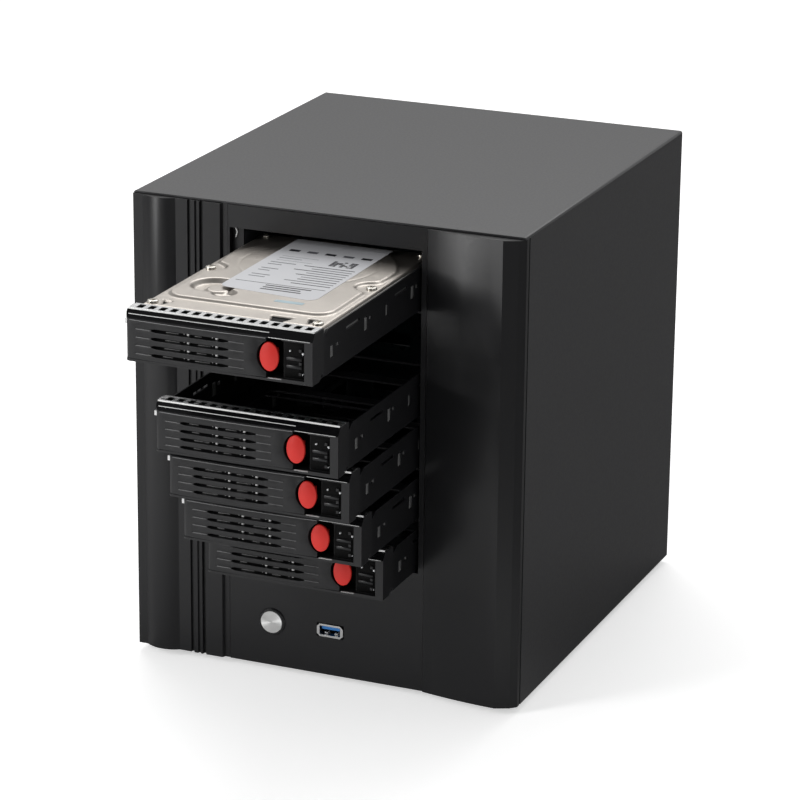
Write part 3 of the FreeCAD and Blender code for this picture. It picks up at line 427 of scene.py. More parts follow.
def make_materials():
    """One finish for each of the record's material slots, and a few for the small added pieces."""
    return {
        "case_steel": coated("powder_coat", (0.020, 0.020, 0.0215), 0.40, grain=2600, wear_and_sheen=0.3),
        "bezel_plastic": coated("bezel_plastic", PLASTIC_BLACK, 0.33, grain=2400, wear_and_sheen=0.5,
                                specular=0.36),
        "cage_steel": coated("cage_steel", (0.034, 0.037, 0.041), 0.38, wear_and_sheen=0.5, specular=0.4),
        "inner_steel": metal("zinc_plate", (0.56, 0.57, 0.58), 0.34, stretch=(1, 1, 0.05)),
        "tray_steel": coated("tray_steel", (0.007, 0.007, 0.008), 0.34, grain=1800, wear_and_sheen=0.9,
                             specular=0.35),
        "tray_plastic": tray_moulding("tray_plastic"),
        "frame_plastic_shaded_bevel": frame_plastic_shaded_bevel(),
        "release_red": coated("release_red", (0.58, 0.022, 0.016), 0.45, grain=1600, wear_and_sheen=0.05,
                              specular=0.3),
        "strip_chrome": metal("bright_strip", (0.74, 0.74, 0.74), 0.24, stretch=(0.1, 1, 1),
                              grain=700),
        "guide_plastic": coated("guide_plastic", (0.030, 0.032, 0.035), 0.45, wear_and_sheen=0.3),
        "circuit_board": circuit_board(),
        "socket_plastic": coated("socket_plastic", (0.015, 0.015, 0.015), 0.4, wear_and_sheen=0.2),
        "fan_plastic": coated("fan_plastic", (0.014, 0.014, 0.015), 0.38, wear_and_sheen=0.3),
        "wire_chrome": metal("wire_chrome", (0.75, 0.75, 0.76), 0.16),
        "psu_steel": metal("psu_steel", (0.60, 0.60, 0.61), 0.32, stretch=(1, 0.06, 1)),
        "drive_cover_metal": metal("drive_cover_metal", (0.50, 0.465, 0.425), 0.36, grain=2600,
                                   depth=0.000005),
        "drive_casting": metal("drive_casting", (0.46, 0.46, 0.46), 0.42, grain=1600, depth=0.00003),
        "label_paper": coated("label_paper", (0.66, 0.665, 0.69), 0.42, grain=3000, depth=0.000008,
                              wear_and_sheen=0.0),
        "platter_mirror": metal("platter_mirror", (0.86, 0.86, 0.87), 0.06, smear=0.03,
                                depth=0.000001),
        "screw_steel": metal("screw_steel", (0.72, 0.69, 0.63), 0.24),
        "heatsink_aluminium": metal("heatsink_aluminium", (0.58, 0.58, 0.60), 0.36),
        "button_aluminium": spun_metal("spun_aluminium", (0.93, 0.93, 0.92), 0.34, button_centre()),
        # The full edge mix lightens the ring's outer edge: a painted highlight more than wear.
        "ring_metal": coated("ring_metal", (0.012, 0.012, 0.013), 0.22, wear_and_sheen=1.0),
        "usb_metal": metal("usb_metal", (0.80, 0.80, 0.80), 0.18),
        "usb_blue": smooth_part("usb_blue", (0.015, 0.17, 0.50), 0.3, coat=0.3),
        "foot_rubber": coated("foot_rubber", (0.015, 0.015, 0.015), 0.75, wear_and_sheen=0.1),
        "ink": smooth_part("ink", (0.02, 0.02, 0.025), 0.45),
        "pale_ink": smooth_part("pale_ink", (0.13, 0.135, 0.15), 0.45),
        "sticker": smooth_part("sticker", (0.42, 0.56, 0.62), 0.4),
        # Near-black with little gloss: painted shade inside the vents, the cover's notches, the status
        # window and the USB mouth.
        "painted_shade_black": coated("painted_shade_black", (0.0012, 0.0012, 0.0013), 0.6, wear_and_sheen=0.0, specular=0.12),
        # White, on the strip's rolled edge, the vents' posts, the USB springs and the opening's tab:
        # painted highlights and glints.
        "painted_highlight_white": smooth_part("painted_highlight_white", (0.80, 0.80, 0.79), 0.3, coat=0.4),
        # Light grey on lips, beads and the lever's upper edge as painted highlights; the vents' wires use
        # it too.
        "painted_highlight_grey": coated("painted_highlight_grey", (0.17, 0.17, 0.173), 0.34, wear_and_sheen=0.6),
        # Lighter grey for the sled's tabs: painted glints.
        "painted_glint_tab": coated("painted_glint_tab", (0.085, 0.085, 0.085), 0.3, wear_and_sheen=0.8),
        # Near-white light pipes in the status window, whose colour paints their glints.
        "light_pipe_glint": smooth_part("light_pipe_glint", (0.82, 0.83, 0.85), 0.15, coat=0.6),
        "contact_gold": metal("contact_gold", (0.86, 0.62, 0.28), 0.2),
    }


MATERIALS = make_materials()


WELD_REACH = 1e-6             # metres
SOFTEN_ANGLE = 35             # degrees


def soften(node, radius):
    """Rounds a CAD node's sharp edges and keeps its broad faces flat in shade."""
    weld = node.modifiers.new("weld", "WELD")
    weld.merge_threshold = WELD_REACH
    bevel = node.modifiers.new("bevel", "BEVEL")
    bevel.width = radius
    bevel.segments = 2
    bevel.limit_method = "ANGLE"
    bevel.angle_limit = math.radians(SOFTEN_ANGLE)
    bevel.harden_normals = True
    bevel.use_clamp_overlap = True


# Edge radii in millimetres.
EDGE_RADIUS = {"front_bezel": 0.35, "cover_shell": 0.2, "usb_shell": 0.12, "power_ring": 0.3}
TRAY_EDGE_RADIUS = 0.22


def dress_nodes():
    """Gives each CAD node its slot's finish, apart from the front plate and the trays' frames."""
    for part in frame["record"]["subparts"]:
        node = NODES[part["node"]]
        finish = part["material_slot"]
        radius = EDGE_RADIUS.get(part["node"])
        if part["node"] == "front_plate":
            finish = "tray_steel"
        if part["node"].startswith("tray") and part["node"].endswith(("_frame", "_lever")):
            radius = TRAY_EDGE_RADIUS
            # The frames take the plastic whose bevel carries a painted dark reflection.
            if part["node"].endswith("_frame"):
                finish = "frame_plastic_shaded_bevel"
        node.data.materials.clear()
        node.data.materials.append(MATERIALS[finish])
        if radius:
            soften(node, radius * MM)


# ---- mesh helpers ----------------------------------------------------------------------------------


def finish_piece(name, bm, slot, body, finishes=None, sharp=30):
    """Turns a bmesh in metres into a piece that rides on a body."""
    mesh = bpy.data.meshes.new(name)
    bm.normal_update()
    bm.to_mesh(mesh)
    bm.free()
    for finish in finishes or (slot,):
        mesh.materials.append(MATERIALS[finish])
    mesh.shade_smooth()
    mesh.set_sharp_from_angle(angle=math.radians(sharp))
    piece = bpy.data.objects.new(name, mesh)
    bpy.context.scene.collection.objects.link(piece)
    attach(piece, body)
    return piece


def add_box(bm, low, high, radius=0.0, finish=0):
    """A block between two corners in millimetres, with rounded edges."""
    size = [(b - a) for a, b in zip(low, high)]
    middle = [(a + b) / 2 for a, b in zip(low, high)]
    made = bmesh.ops.create_cube(bm, size=1.0)["verts"]
    bmesh.ops.scale(bm, vec=[s * MM for s in size], verts=made)
    bmesh.ops.translate(bm, vec=[c * MM for c in middle], verts=made)
    faces = {f for v in made for f in v.link_faces}
    if radius:
        edges = list({e for v in made for e in v.link_edges})
        result = bmesh.ops.bevel(bm, geom=edges, offset=radius * MM, segments=2, profile=0.5,
                                 affect="EDGES")
        faces |= set(result["faces"])
    for face in faces:
        if face.is_valid:
            face.material_index = finish


def add_rings(bm, rings, place, finish=0):
    """A closed skin over rings of equal count. place turns local millimetres into metres."""
    rows = [[bm.verts.new(place @ Vector(point)) for point in ring] for ring in rings]
    count = len(rows[0])
    made = []
    for low, high in zip(rows, rows[1:]):
        for index in range(count):
            following = (index + 1) % count
            made.append(bm.faces.new((low[index], low[following], high[following], high[index])))
    made.append(bm.faces.new(list(reversed(rows[0]))))
    made.append(bm.faces.new(rows[-1]))
    for face in made:
        face.material_index = finish


def place_at(x, y, z, facing="z"):
    """Local millimetres to metres at a point, with local Z towards one of the frame's directions."""
    turns = {
        "z": Matrix.Identity(4),
        "-y": Matrix.Rotation(math.radians(90), 4, "X"),
        "y": Matrix.Rotation(math.radians(-90), 4, "X"),
    }
    return Matrix.Scale(MM, 4) @ Matrix.Translation((x, y, z)) @ turns[facing]


def circle(radius, level, count, lobes=0, depth=0.0, turn=0.0):
    """A ring of points, scalloped where it has lobes."""
    points = []
    for index in range(count):
        angle = 2 * math.pi * index / count
        reach = radius + depth * math.cos(lobes * angle)
        points.append((reach * math.cos(angle + turn), reach * math.sin(angle + turn), level))
    return points


def add_screw(bm, place, radius, high, drive, turn=0.0):
    """A pan-head screw with a six-lobed recess. Its seat is at local Z 0."""
    count = 48
    steps = 5
    rings = [circle(radius, 0, count)]
    for step in range(steps):
        angle = math.radians(90 * step / steps)
        rings.append(circle(radius - 0.35 * high * (1 - math.cos(angle)) - 0.02 * step,
                            high * (0.55 + 0.45 * math.sin(angle)), count))
    rings.append(circle(drive * 1.15, high, count, 6, drive * 0.13, turn))
    rings.append(circle(drive, high - 0.12, count, 6, drive * 0.16, turn))
    rings.append(circle(drive, high * 0.3, count, 6, drive * 0.16, turn))
    add_rings(bm, rings, place)


def smoothstep(value, low, high):
    """0 up to low, 1 from high, and a smooth rise between."""
    share = min(1.0, max(0.0, (value - low) / (high - low)))
    return share * share * (3 - 2 * share)


def node_box(name):
    """A node's lowest and highest corners in millimetres."""
    low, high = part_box(name)
    return [v / MM for v in low], [v / MM for v in high]


def tray_corner(number):
    """The lowest, leftmost and foremost point of a tray's frame, in millimetres."""
    return node_box(f"tray_{number}_frame")[0]


def middle_of(low, high):
    """The X and Z halfway between two corners."""
    return (low[0] + high[0]) / 2, (low[2] + high[2]) / 2


# ---- trays -----------------------------------------------------------------------------------------
# Places on a tray are X from the left of its frame, Y from its front and Z from its lowest point.

BUTTON_CROWN = 1.25           # how far the button's middle stands out past its rim
BUTTON_THICK = 2.35
VENTS = 4
VENT_FIRST = 4.6
VENT_PITCH = 4.37
VENT_HALF = 0.94
VENT_SKIN = 1.9               # how far behind the frame's front the vents' posts of painted glints start
VENT_ROOM = 0.5               # from there to the black sheet of painted shade
VENT_SHADE_SHEET_SPAN = (16.5, 56.0)
# Each wire behind a vent: its start, how much that varies, its least and greatest length, and how far
# below the vent's middle it starts and ends.
VENT_WIRES = ((19, 4, 4, 11, 0.7, 0.45), (38, 3, 3, 9, 0.75, 0.5))
VENT_ENDS = ((6.2, 14.8), (58.2, 66.8))
# Where the white posts that paint glints stand in each vent, from the frame's left.
SPARK_POSTS = (35.2, 51.0)
LEVER_MIDDLE = 40.7
LEVER_HALF = 38.1
LEVER_EDGE = 0.2
LEVER_BOW = 0.9
CHEEK = 80.0                  # where the lever ends and the frame's cheek starts
# Each bar on the front: X, Y and Z from and to, the radius of its edges and its finish. They are the
# strip's rolled edge in white and the window's lower lip and the bevel's beads over the cheek and over the
# lever in light grey, all painted highlights.
FRONT_BARS = (
    (0.6, 103.7, 3.2, 3.7, 26.55, 27.4, 0.2, 0),
    (79.6, 99.9, 0.05, 1.2, 0.9, 1.45, 0.15, 1),
    (CHEEK, 103.0, -0.06, 0.5, 22.45, 22.75, 0.08, 1),
    (1.5, CHEEK, 1.5, 2.2, 24.45, 24.85, 0.08, 1),
)
# The black sheets of painted shade behind the window's ribs and behind the button, in the same way.
WINDOW_SHADE_SHEETS = ((87.6, 99.7, 2.7, 2.98, 2.0, 21.6, 0.1, 0), (72.2, 87.2, 10.7, 10.98, 1.4, 22.2, 0.1, 0))
WINDOW_GLINT_DEEP = 2.75
# Each light pipe in the status window, white as a painted glint: X, Z and radius.
WINDOW_GLINTS = ((98.3, 15.6, 0.62), (91.2, 16.4, 0.45), (98.3, 4.8, 0.35))
# Each tab in the sled's sides: Y and Z of its lower front corner, then of its upper back corner.
SIDE_TABS = (
    (9.3, 7.8, 12.2, 13.7), (18.2, 11.7, 19.0, 13.3), (52.3, 9.8, 55.2, 16.6), (58.8, 14.2, 59.8, 15.8),
    (80.3, 10.3, 81.6, 15.7), (114.3, 9.8, 117.2, 16.6), (120.8, 14.2, 121.8, 15.8),
)
TAB_SOLID = 1.6
TAB_PROUD = 0.12


def make_release_button(number):
    """An oval push button with a crowned face, a rolled rim and a flat stem."""
    low, high = node_box(f"tray_{number}_release")
    x, z = middle_of(low, high)
    wide = (high[0] - low[0]) / 2
    tall = (high[2] - low[2]) / 2
    count = 72
    rings = []

    def oval(share, level):
        """Adds a ring at a share of the button's size."""
        rings.append([(wide * share * math.cos(2 * math.pi * k / count),
                       tall * share * math.sin(2 * math.pi * k / count), level) for k in range(count)])

    for share in (0.12, 0.25, 0.38, 0.5, 0.62, 0.72, 0.82, 0.91):
        oval(share, BUTTON_CROWN * share ** 2)
    for step in range(1, 6):
        angle = math.radians(18 * step)
        oval(0.91 + 0.09 * math.sin(angle), 1.04 + 0.6 * (1 - math.cos(angle)))
    oval(1.0, BUTTON_THICK - 0.15)
    oval(0.95, BUTTON_THICK)
    bm = bmesh.new()
    add_rings(bm, rings, place_at(x, low[1], z, "y"))
    add_box(bm, (x - 2, low[1] + BUTTON_THICK - 0.15, z - 3), (x + 2, high[1], z + 3), 0.3)
    bmesh.ops.recalc_face_normals(bm, faces=bm.faces)
    name = f"tray_{number}_red_button"
    piece = finish_piece(name, bm, "release_red", f"tray_{number}_release_button", sharp=40)
    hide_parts(f"tray_{number}_release")


def make_vent_mesh(number):
    """A black sheet of painted shade, bent light-grey wire, and small white and grey posts painted as
    glints, just inside the lever's four vents.
    """
    left, front, level = tray_corner(number)
    bm = bmesh.new()
    dice = random.Random(40 + number)
    skin = front + VENT_SKIN
    back = skin + VENT_ROOM
    start, end = VENT_SHADE_SHEET_SPAN
    for row in range(VENTS):
        z = level + VENT_FIRST + VENT_PITCH * row
        add_box(bm, (left + start, back, z - VENT_HALF), (left + end, back + 0.3, z + VENT_HALF), finish=1)
        for post in SPARK_POSTS:
            x = left + post
            big = 0.62 if row else 0.35
            add_box(bm, (x - big, skin - 0.9, z - big), (x + big, back, z + big), 0.2)
            x -= 2.6
            add_box(bm, (x - 0.35, skin, z - 0.5), (x + 0.35, back, z + 0.5), 0.15, 2)
        for first, stray, least, most, low, high in VENT_WIRES:
            wire = left + first + dice.uniform(0, stray)
            add_box(bm, (wire, skin, z - low), (wire + dice.uniform(least, most), back, z - high), 0.08, 2)
    finish_piece(f"tray_{number}_vent_mesh", bm, "strip_chrome", f"tray_{number}_lever_arm",
                 ("painted_highlight_white", "painted_shade_black", "painted_highlight_grey"))


def lever_face(x):
    """How far the lever's bowed face lies behind the frame's front, at a distance from its left."""
    share = (x - LEVER_MIDDLE) / LEVER_HALF
    return LEVER_EDGE - LEVER_BOW * (1 - share * share)


def add_lever_line(bm, left, front, start, end, low, high):
    """A fine raised line that follows the lever's bowed face."""
    steps = 24
    rings = []
    for step in range(steps + 1):
        x = start + (end - start) * step / steps
        y = front + lever_face(x)
        rings.append([(left + x, y - 0.06, low), (left + x, y - 0.06, high), (left + x, y + 0.4, high),
                      (left + x, y + 0.4, low)])
    add_rings(bm, rings, Matrix.Scale(MM, 4))


def make_lever_lines(number):
    """The lever's rolled upper edge and the lips at the narrow ends of its vents, in light grey as painted
    highlights.
    """
    left, front, level = tray_corner(number)
    bm = bmesh.new()
    add_lever_line(bm, left, front, 2.8, 78.6, level + 21.8, level + 22.1)
    for row in range(VENTS):
        z = level + VENT_FIRST + VENT_PITCH * row
        for start, end in VENT_ENDS:
            add_box(bm, (left + start, front - 0.25, z - 0.30), (left + end, front + 1.2, z - 0.02), 0.1)
    bmesh.ops.recalc_face_normals(bm, faces=bm.faces)
    finish_piece(f"tray_{number}_lever_lines", bm, "tray_plastic", f"tray_{number}_lever_arm",
                 ("painted_highlight_grey",))


def add_tray_bars(bm, number, bars):
    """Boxes at their places on a tray."""
    left, front, level = tray_corner(number)
    for x0, x1, y0, y1, z0, z1, radius, finish in bars:
        add_box(bm, (left + x0, front + y0, level + z0), (left + x1, front + y1, level + z1), radius,
                finish)


def make_front_trim(number):
    """The strip's rolled edge in white, and the window's lower lip and the beads of the frame's bevel in
    light grey: painted highlights.
    """
    bm = bmesh.new()
    add_tray_bars(bm, number, FRONT_BARS)
    finish_piece(f"tray_{number}_front_trim", bm, "strip_chrome", f"tray_{number}",
                 ("painted_highlight_white", "painted_highlight_grey"))


def make_status_window(number):
    """Black sheets of painted shade behind the window's ribs and the button, with a few small white light
    pipes painted as glints.
    """
    left, front, level = tray_corner(number)
    bm = bmesh.new()
    add_tray_bars(bm, number, WINDOW_SHADE_SHEETS)
    for x, z, radius in WINDOW_GLINTS:
        place = place_at(left + x, front + WINDOW_GLINT_DEEP, level + z, "-y")
        add_rings(bm, [circle(radius, 0, 16), circle(radius, 0.9, 16), circle(radius * 0.6, 1.2, 16)],
                  place, finish=1)
    finish_piece(f"tray_{number}_status_window", bm, "tray_plastic", f"tray_{number}",
                 ("painted_shade_black", "light_pipe_glint"))


def make_side_tabs(number):
    """Small bent steel tabs and pressed buttons in the openings of the sled's sides, in a lighter grey that
    paints their glints.
    """
    low, high = node_box(f"tray_{number}_sled")
    start = low[1]
    floor = low[2]
    bm = bmesh.new()
    for side, outer in ((-1, low[0]), (1, high[0])):
        x0, x1 = sorted((outer - side * TAB_SOLID, outer + side * TAB_PROUD))
        for y0, z0, y1, z1 in SIDE_TABS:
            add_box(bm, (x0, start + y0, floor + z0), (x1, start + y1, floor + z1), 0.25)
    finish_piece(f"tray_{number}_side_tabs", bm, "tray_steel", f"tray_{number}", ("painted_glint_tab",))


# ---- the drive -------------------------------------------------------------------------------------
# Places on the drive are X from its left, Y from its front and Z from its cover's underside.

DRIVE_WIDE = 101.6
DRIVE_LONG = 147.0
SPINDLE = (50.8, 97.0)
DISC_RADIUS = 46.6
SIDE_SCREW_Y = 73.0
SCREW_INSET = 4.6
RIM_HIGH = 1.7
RAISED_HIGH = 3.1
COVER_INSET = 0.5
# The raised area's front part: X and Y from, X and Y to, and the radius of its corners.
RAISED_FRONT = (4.6, 17.2, 97.0, 112.0, 10.0)
SCREW_CLEARING = 8.4
OUTLINE_BLEND = 4.0
# The head pivot's round recess: its middle and radius, the island in it and the dish beside it.
BOWL = (21.5, 42.5, 12.8)
ISLAND = (24.5, 41.5, 6.6)
DISH = (32.0, 32.0, 6.8)
BOWL_DEEP = 2.7
ISLAND_RISE = 0.45            # as a share of the bowl's depth
DISH_DEEP = 2.9
RIPPLE_RADIUS = 37.0
RIPPLE_WIDE = 0.9
RIPPLE_DEEP = 0.18
EDGE_DROP = 0.7
NOTCH_DEEP = 1.2
NOTCH_FLARE = 0.35
# Each notch in the cover's front edge: its middle, its width and how far back it reaches.
FRONT_NOTCHES = ((75.5, 13.0, 10.0), (92.0, 7.0, 12.5), (10.5, 6.0, 11.5))
COVER_STEP = 0.62
LABEL_THICK = 0.12
LABEL_LEFT = 25.0
LABEL_RIGHT = 81.0
LABEL_BACK = 139.0
TEXT_LEFT = 30.0
TEXT_RIGHT = 78.5
CODE_AT = (61, 98)
CODE_CELL = 2.0
CODE_BLOCK = 1.8
STICKER = (62.0, 27.6, 78.0, 31.2)


def rounded_rectangle(x, y, x0, y0, x1, y1, radius):
    """How far a point lies outside a rectangle with rounded corners. Negative inside."""
    dx = abs(x - (x0 + x1) / 2) - (x1 - x0) / 2 + radius
    dy = abs(y - (y0 + y1) / 2) - (y1 - y0) / 2 + radius
    return math.hypot(max(dx, 0), max(dy, 0)) + min(max(dx, dy), 0) - radius


def soft_min(a, b, reach):
    """The smaller of two distances, with a rounded change from one to the other."""
    share = max(reach - abs(a - b), 0) / reach
    return min(a, b) - share * share * reach / 4


def inside(round_shape, x, y):
    """How far a point lies inside a circle, given as its middle and radius."""
    middle_x, middle_y, radius = round_shape
    return radius - math.hypot(x - middle_x, y - middle_y)


def raised_outline(x, y):
    """Distance from the edge of the cover's raised area: a rounded front part and a round disc part."""
    body = rounded_rectangle(x, y, *RAISED_FRONT)
    disc = -inside((*SPINDLE, DISC_RADIUS), x, y)
    whole = soft_min(body, disc, OUTLINE_BLEND)
    for screw_x in (SCREW_INSET, DRIVE_WIDE - SCREW_INSET):
        clear = SCREW_CLEARING - math.hypot(x - screw_x, y - SIDE_SCREW_Y)
        whole = -soft_min(-whole, -clear, OUTLINE_BLEND)
    return whole


def notch(x, y, centre, wide, deep):
    """How deep a point lies in a notch in the cover's front edge that widens towards the back."""
    side = wide / 2 - NOTCH_FLARE * (deep - y) - abs(x - centre)
    return min(side, deep - y)


def cover_height(x, y):
    """The stamped cover's height above its underside, at a place in the drive's own plan."""
    height = RIM_HIGH + (RAISED_HIGH - RIM_HIGH) * smoothstep(-raised_outline(x, y), -1.0, 1.0)
    island = smoothstep(inside(ISLAND, x, y), -1.0, 1.0)
    height -= BOWL_DEEP * smoothstep(inside(BOWL, x, y), -0.3, 2.8) * (1 - ISLAND_RISE * island)
    height = min(height, RAISED_HIGH - DISH_DEEP * smoothstep(inside(DISH, x, y), -0.4, 2.6))
    ripple = inside((*SPINDLE, RIPPLE_RADIUS), x, y)
    height -= RIPPLE_DEEP * math.exp(-(ripple / RIPPLE_WIDE) ** 2) * smoothstep(y, 50, 60)
    edge = min(x, DRIVE_WIDE - x, y, DRIVE_LONG - y) - COVER_INSET
    height -= EDGE_DROP * (1 - smoothstep(edge, 0.0, 1.0))
    for centre, wide, deep in FRONT_NOTCHES:
        height -= NOTCH_DEEP * smoothstep(notch(x, y, centre, wide, deep), -0.2, 0.5)
    return height


def drive_corner():
    """The drive's left front corner and its cover's underside, in millimetres."""
    low, high = node_box("drive_base")
    return low[0], low[1], high[2]


def make_drive_cover():
    """The stamped top cover as a fine height field, with a short skirt and notches in front whose deep
    faces are black as painted shade.
    """
    left, front, low = drive_corner()
    wide = DRIVE_WIDE - 2 * COVER_INSET
    long = DRIVE_LONG - 2 * COVER_INSET
    columns = round(wide / COVER_STEP)
    rows = round(long / COVER_STEP)
    bm = bmesh.new()

    def corner(row, column):
        """Adds one point of the height field."""
        x = COVER_INSET + wide * column / columns
        y = COVER_INSET + long * row / rows
        return bm.verts.new(((left + x) * MM, (front + y) * MM, (low + cover_height(x, y)) * MM))

    grid = [[corner(row, column) for column in range(columns + 1)] for row in range(rows + 1)]
    for near, far in zip(grid, grid[1:]):
        for column in range(columns):
            face = bm.faces.new((near[column], near[column + 1], far[column + 1], far[column]))
            middle = face.calc_center_median() / MM
            # Faces deep in a front notch take the black of painted shade.
            deepest = max(notch(middle.x - left, middle.y - front, *shape) for shape in FRONT_NOTCHES)
            face.material_index = int(deepest > 0.25)
    border = [edge for edge in bm.edges if edge.is_boundary]
    made = bmesh.ops.extrude_edge_only(bm, edges=border)["geom"]
    for vertex in (item for item in made if isinstance(item, bmesh.types.BMVert)):
        vertex.co.z = (low + 0.02) * MM
    piece = finish_piece("drive_stamped_cover", bm, "drive_cover_metal", "tray_1",
                         ("drive_cover_metal", "painted_shade_black"), sharp=55)
    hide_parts("drive_cover")


def corner_arc(centre, radius, start, end, count=10):
    """Points along an arc, from one angle to another in degrees."""
    angles = [math.radians(start + (end - start) * k / count) for k in range(count + 1)]
    return [(centre[0] + radius * math.cos(a), centre[1] + radius * math.sin(a)) for a in angles]


def label_outline():
    """The label's edge in the drive's plan: a slanted front edge and round corners."""
    return ([(LABEL_RIGHT, LABEL_BACK), (LABEL_LEFT, LABEL_BACK)] + corner_arc((29.6, 46.6), 5.2, 180, 258)
            + corner_arc((75.5, 42.0), 5.5, 270, 360))


def make_drive_label():
    """A white label on the cover's raised area."""
    left, front, low = drive_corner()
    level = low + RAISED_HIGH
    bm = bmesh.new()
    rings = [[(x, y, z) for x, y in label_outline()] for z in (level - 0.05, level + LABEL_THICK)]
    add_rings(bm, rings, place_at(left, front, 0))
    bmesh.ops.recalc_face_normals(bm, faces=bm.faces)
    piece = finish_piece("drive_white_label", bm, "label_paper", "tray_1")
    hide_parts("drive_label")


def make_label_bars():
    """Plain dark and grey bars and blocks in place of the label's print."""
    left, front, low = drive_corner()
    top = low + RAISED_HIGH + LABEL_THICK
    bm = bmesh.new()
    dice = random.Random(7)

    def mark(x0, y0, x1, y1, finish):
        """Adds a flat bar or block at a place on the drive."""
        add_box(bm, (left + x0, front + y0, top - 0.02), (left + x1, front + y1, top + 0.015),
                finish=finish)

    mark(27.5, 55.0, TEXT_RIGHT, 55.7, 0)
    for row in range(3):
        y = 45.0 + 3.4 * row
        mark(46, y, 46 + dice.uniform(20, 29), y + 1.5, 0)
    for row in range(9):
        y = 61.0 + 4.0 * row
        mark(TEXT_RIGHT + 0.5 - dice.uniform(22, 34), y, TEXT_RIGHT, y + 1.1, row % 2)
        if row % 3:
            mark(TEXT_LEFT, y, TEXT_LEFT + dice.uniform(6, 15), y + 1.1, 1)
    for row in range(5):
        for column in range(7):
            if dice.random() < 0.6:
                x = CODE_AT[0] + CODE_CELL * column
                y = CODE_AT[1] + CODE_CELL * row
                mark(x, y, x + CODE_BLOCK, y + CODE_BLOCK, 0)
    for y, x1, tall in ((98, 52, 0.4), (106, 52, 0.4), (102, 44, 0.8)):
        mark(TEXT_LEFT + 1, y, x1, y + tall, 1)
    for column in range(5):
        x = TEXT_LEFT + 10.5 * column
        mark(x, 116, x + 6, 119.5, column % 2)
    finish_piece("drive_label_bars", bm, "label_paper", "tray_1", ("ink", "pale_ink"))


def make_drive_sticker():
    """A small pale blue sticker in front of the label."""
    left, front, low = drive_corner()
    level = low + RAISED_HIGH
    x0, y0, x1, y1 = STICKER
    bm = bmesh.new()
    add_box(bm, (left + x0, front + y0, level), (left + x1, front + y1, level + 0.08))
    finish_piece("drive_sticker", bm, "label_paper", "tray_1", ("sticker",))


def make_drive_screws():
    """Six screws along the cover's rim."""
    left, front, low = drive_corner()
    bm = bmesh.new()
    for index, y in enumerate((5.2, SIDE_SCREW_Y, DRIVE_LONG - 5.0)):
        for x in (SCREW_INSET, DRIVE_WIDE - SCREW_INSET):
            add_screw(bm, place_at(left + x, front + y, low + RIM_HIGH), 2.9, 1.25, 1.25, 0.3 * index)
    piece = finish_piece("drive_cover_screws", bm, "screw_steel", "tray_1")
    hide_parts("drive_screws")


# ---- the bezel and the opening ---------------------------------------------------------------------

USB_SHADE_SHEET_DEEP = 8.6
USB_SPRING_ASIDE = 3.0
USB_SPRING_HALF = 0.9
USB_SPRING_HIGH = 0.85
TAB_WIDE = 0.55
TAB_TOP = 255.4
TAB_FROM_TRAY = 5.3
# The tab's bends: X from its middle and Z down from its top.
TAB_BENDS = ((-0.9, 0.0), (0.25, 1.3), (0.6, 2.8), (0.1, 4.4), (-0.2, 5.6))


def make_usb_springs():
    """A black sheet of painted shade behind the USB tongue, and the shell's two springs in the lower half
    of the mouth, in white as painted highlights.
    """
    low, high = node_box("usb_tongue")
    x = middle_of(low, high)[0]
    bm = bmesh.new()
    add_box(bm, (low[0] + 0.1, low[1] + USB_SHADE_SHEET_DEEP, low[2] + 0.1),
            (high[0] - 0.1, low[1] + USB_SHADE_SHEET_DEEP + 0.35, low[2] + 2.8))
    spring = low[2] + 0.12
    for at in (x - USB_SPRING_ASIDE, x + USB_SPRING_ASIDE):
        add_box(bm, (at - USB_SPRING_HALF, low[1] + 0.2, spring),
                (at + USB_SPRING_HALF, low[1] + 4.0, spring + USB_SPRING_HIGH), 0.3, 1)
    finish_piece("usb_springs", bm, "usb_metal", "chassis", ("painted_shade_black", "painted_highlight_white"))


def make_opening_tab():
    """A bent contact on the steel front plate, in the drive opening's upper left corner, white as a painted
    glint.
    """
    skin = node_box("front_plate")[0][1]
    middle = tray_corner(1)[0] - TAB_FROM_TRAY
    front = skin - 0.9
    back = skin - 0.02
    rings = []
    for across, down in TAB_BENDS:
        x = middle + across
        z = TAB_TOP - down
        rings.append([(x, front, z), (x + TAB_WIDE, front, z), (x + TAB_WIDE, back, z), (x, back, z)])
    bm = bmesh.new()
    add_rings(bm, rings, Matrix.Scale(MM, 4))
    bmesh.ops.recalc_face_normals(bm, faces=bm.faces)
    finish_piece("opening_tab", bm, "strip_chrome", "chassis", ("painted_highlight_white",))


# ---- the back --------------------------------------------------------------------------------------

# Each rear socket: height above the lowest, its own height, its reach from the board and its tongues.
REAR_SOCKETS = ((0, 16.0, 14.0, 2), (22, 16.0, 30.0, 2), (44, 16.0, 14.0, 2), (66, 16.0, 14.0, 1),
                (88, 13.5, 26.0, 1), (118, 13.0, 13.0, 1))
SOCKET_WALL = 2.4
PIN_PITCH = 2.2
FAN_SCREW_APART = 105.0
BLADES = 9
BLADE_SWEEP = 0.45            # how far a blade's tip is swept round, in radians
BLADE_CHORD = 306             # degrees that the blades' roots cover together
BLADE_TAPER = 36              # degrees less at their tips
# Each fan: its rotor's node, the new piece, the body, and the hub's radius, the tips' radius and the depth.
FANS = (("fan_rotor", "fan_blades", "fan", 20.0, 54.6, 18.5),
        ("psu_fan_rotor", "psu_fan_blades", "psu_fan", 8.0, 16.6, 10.0))


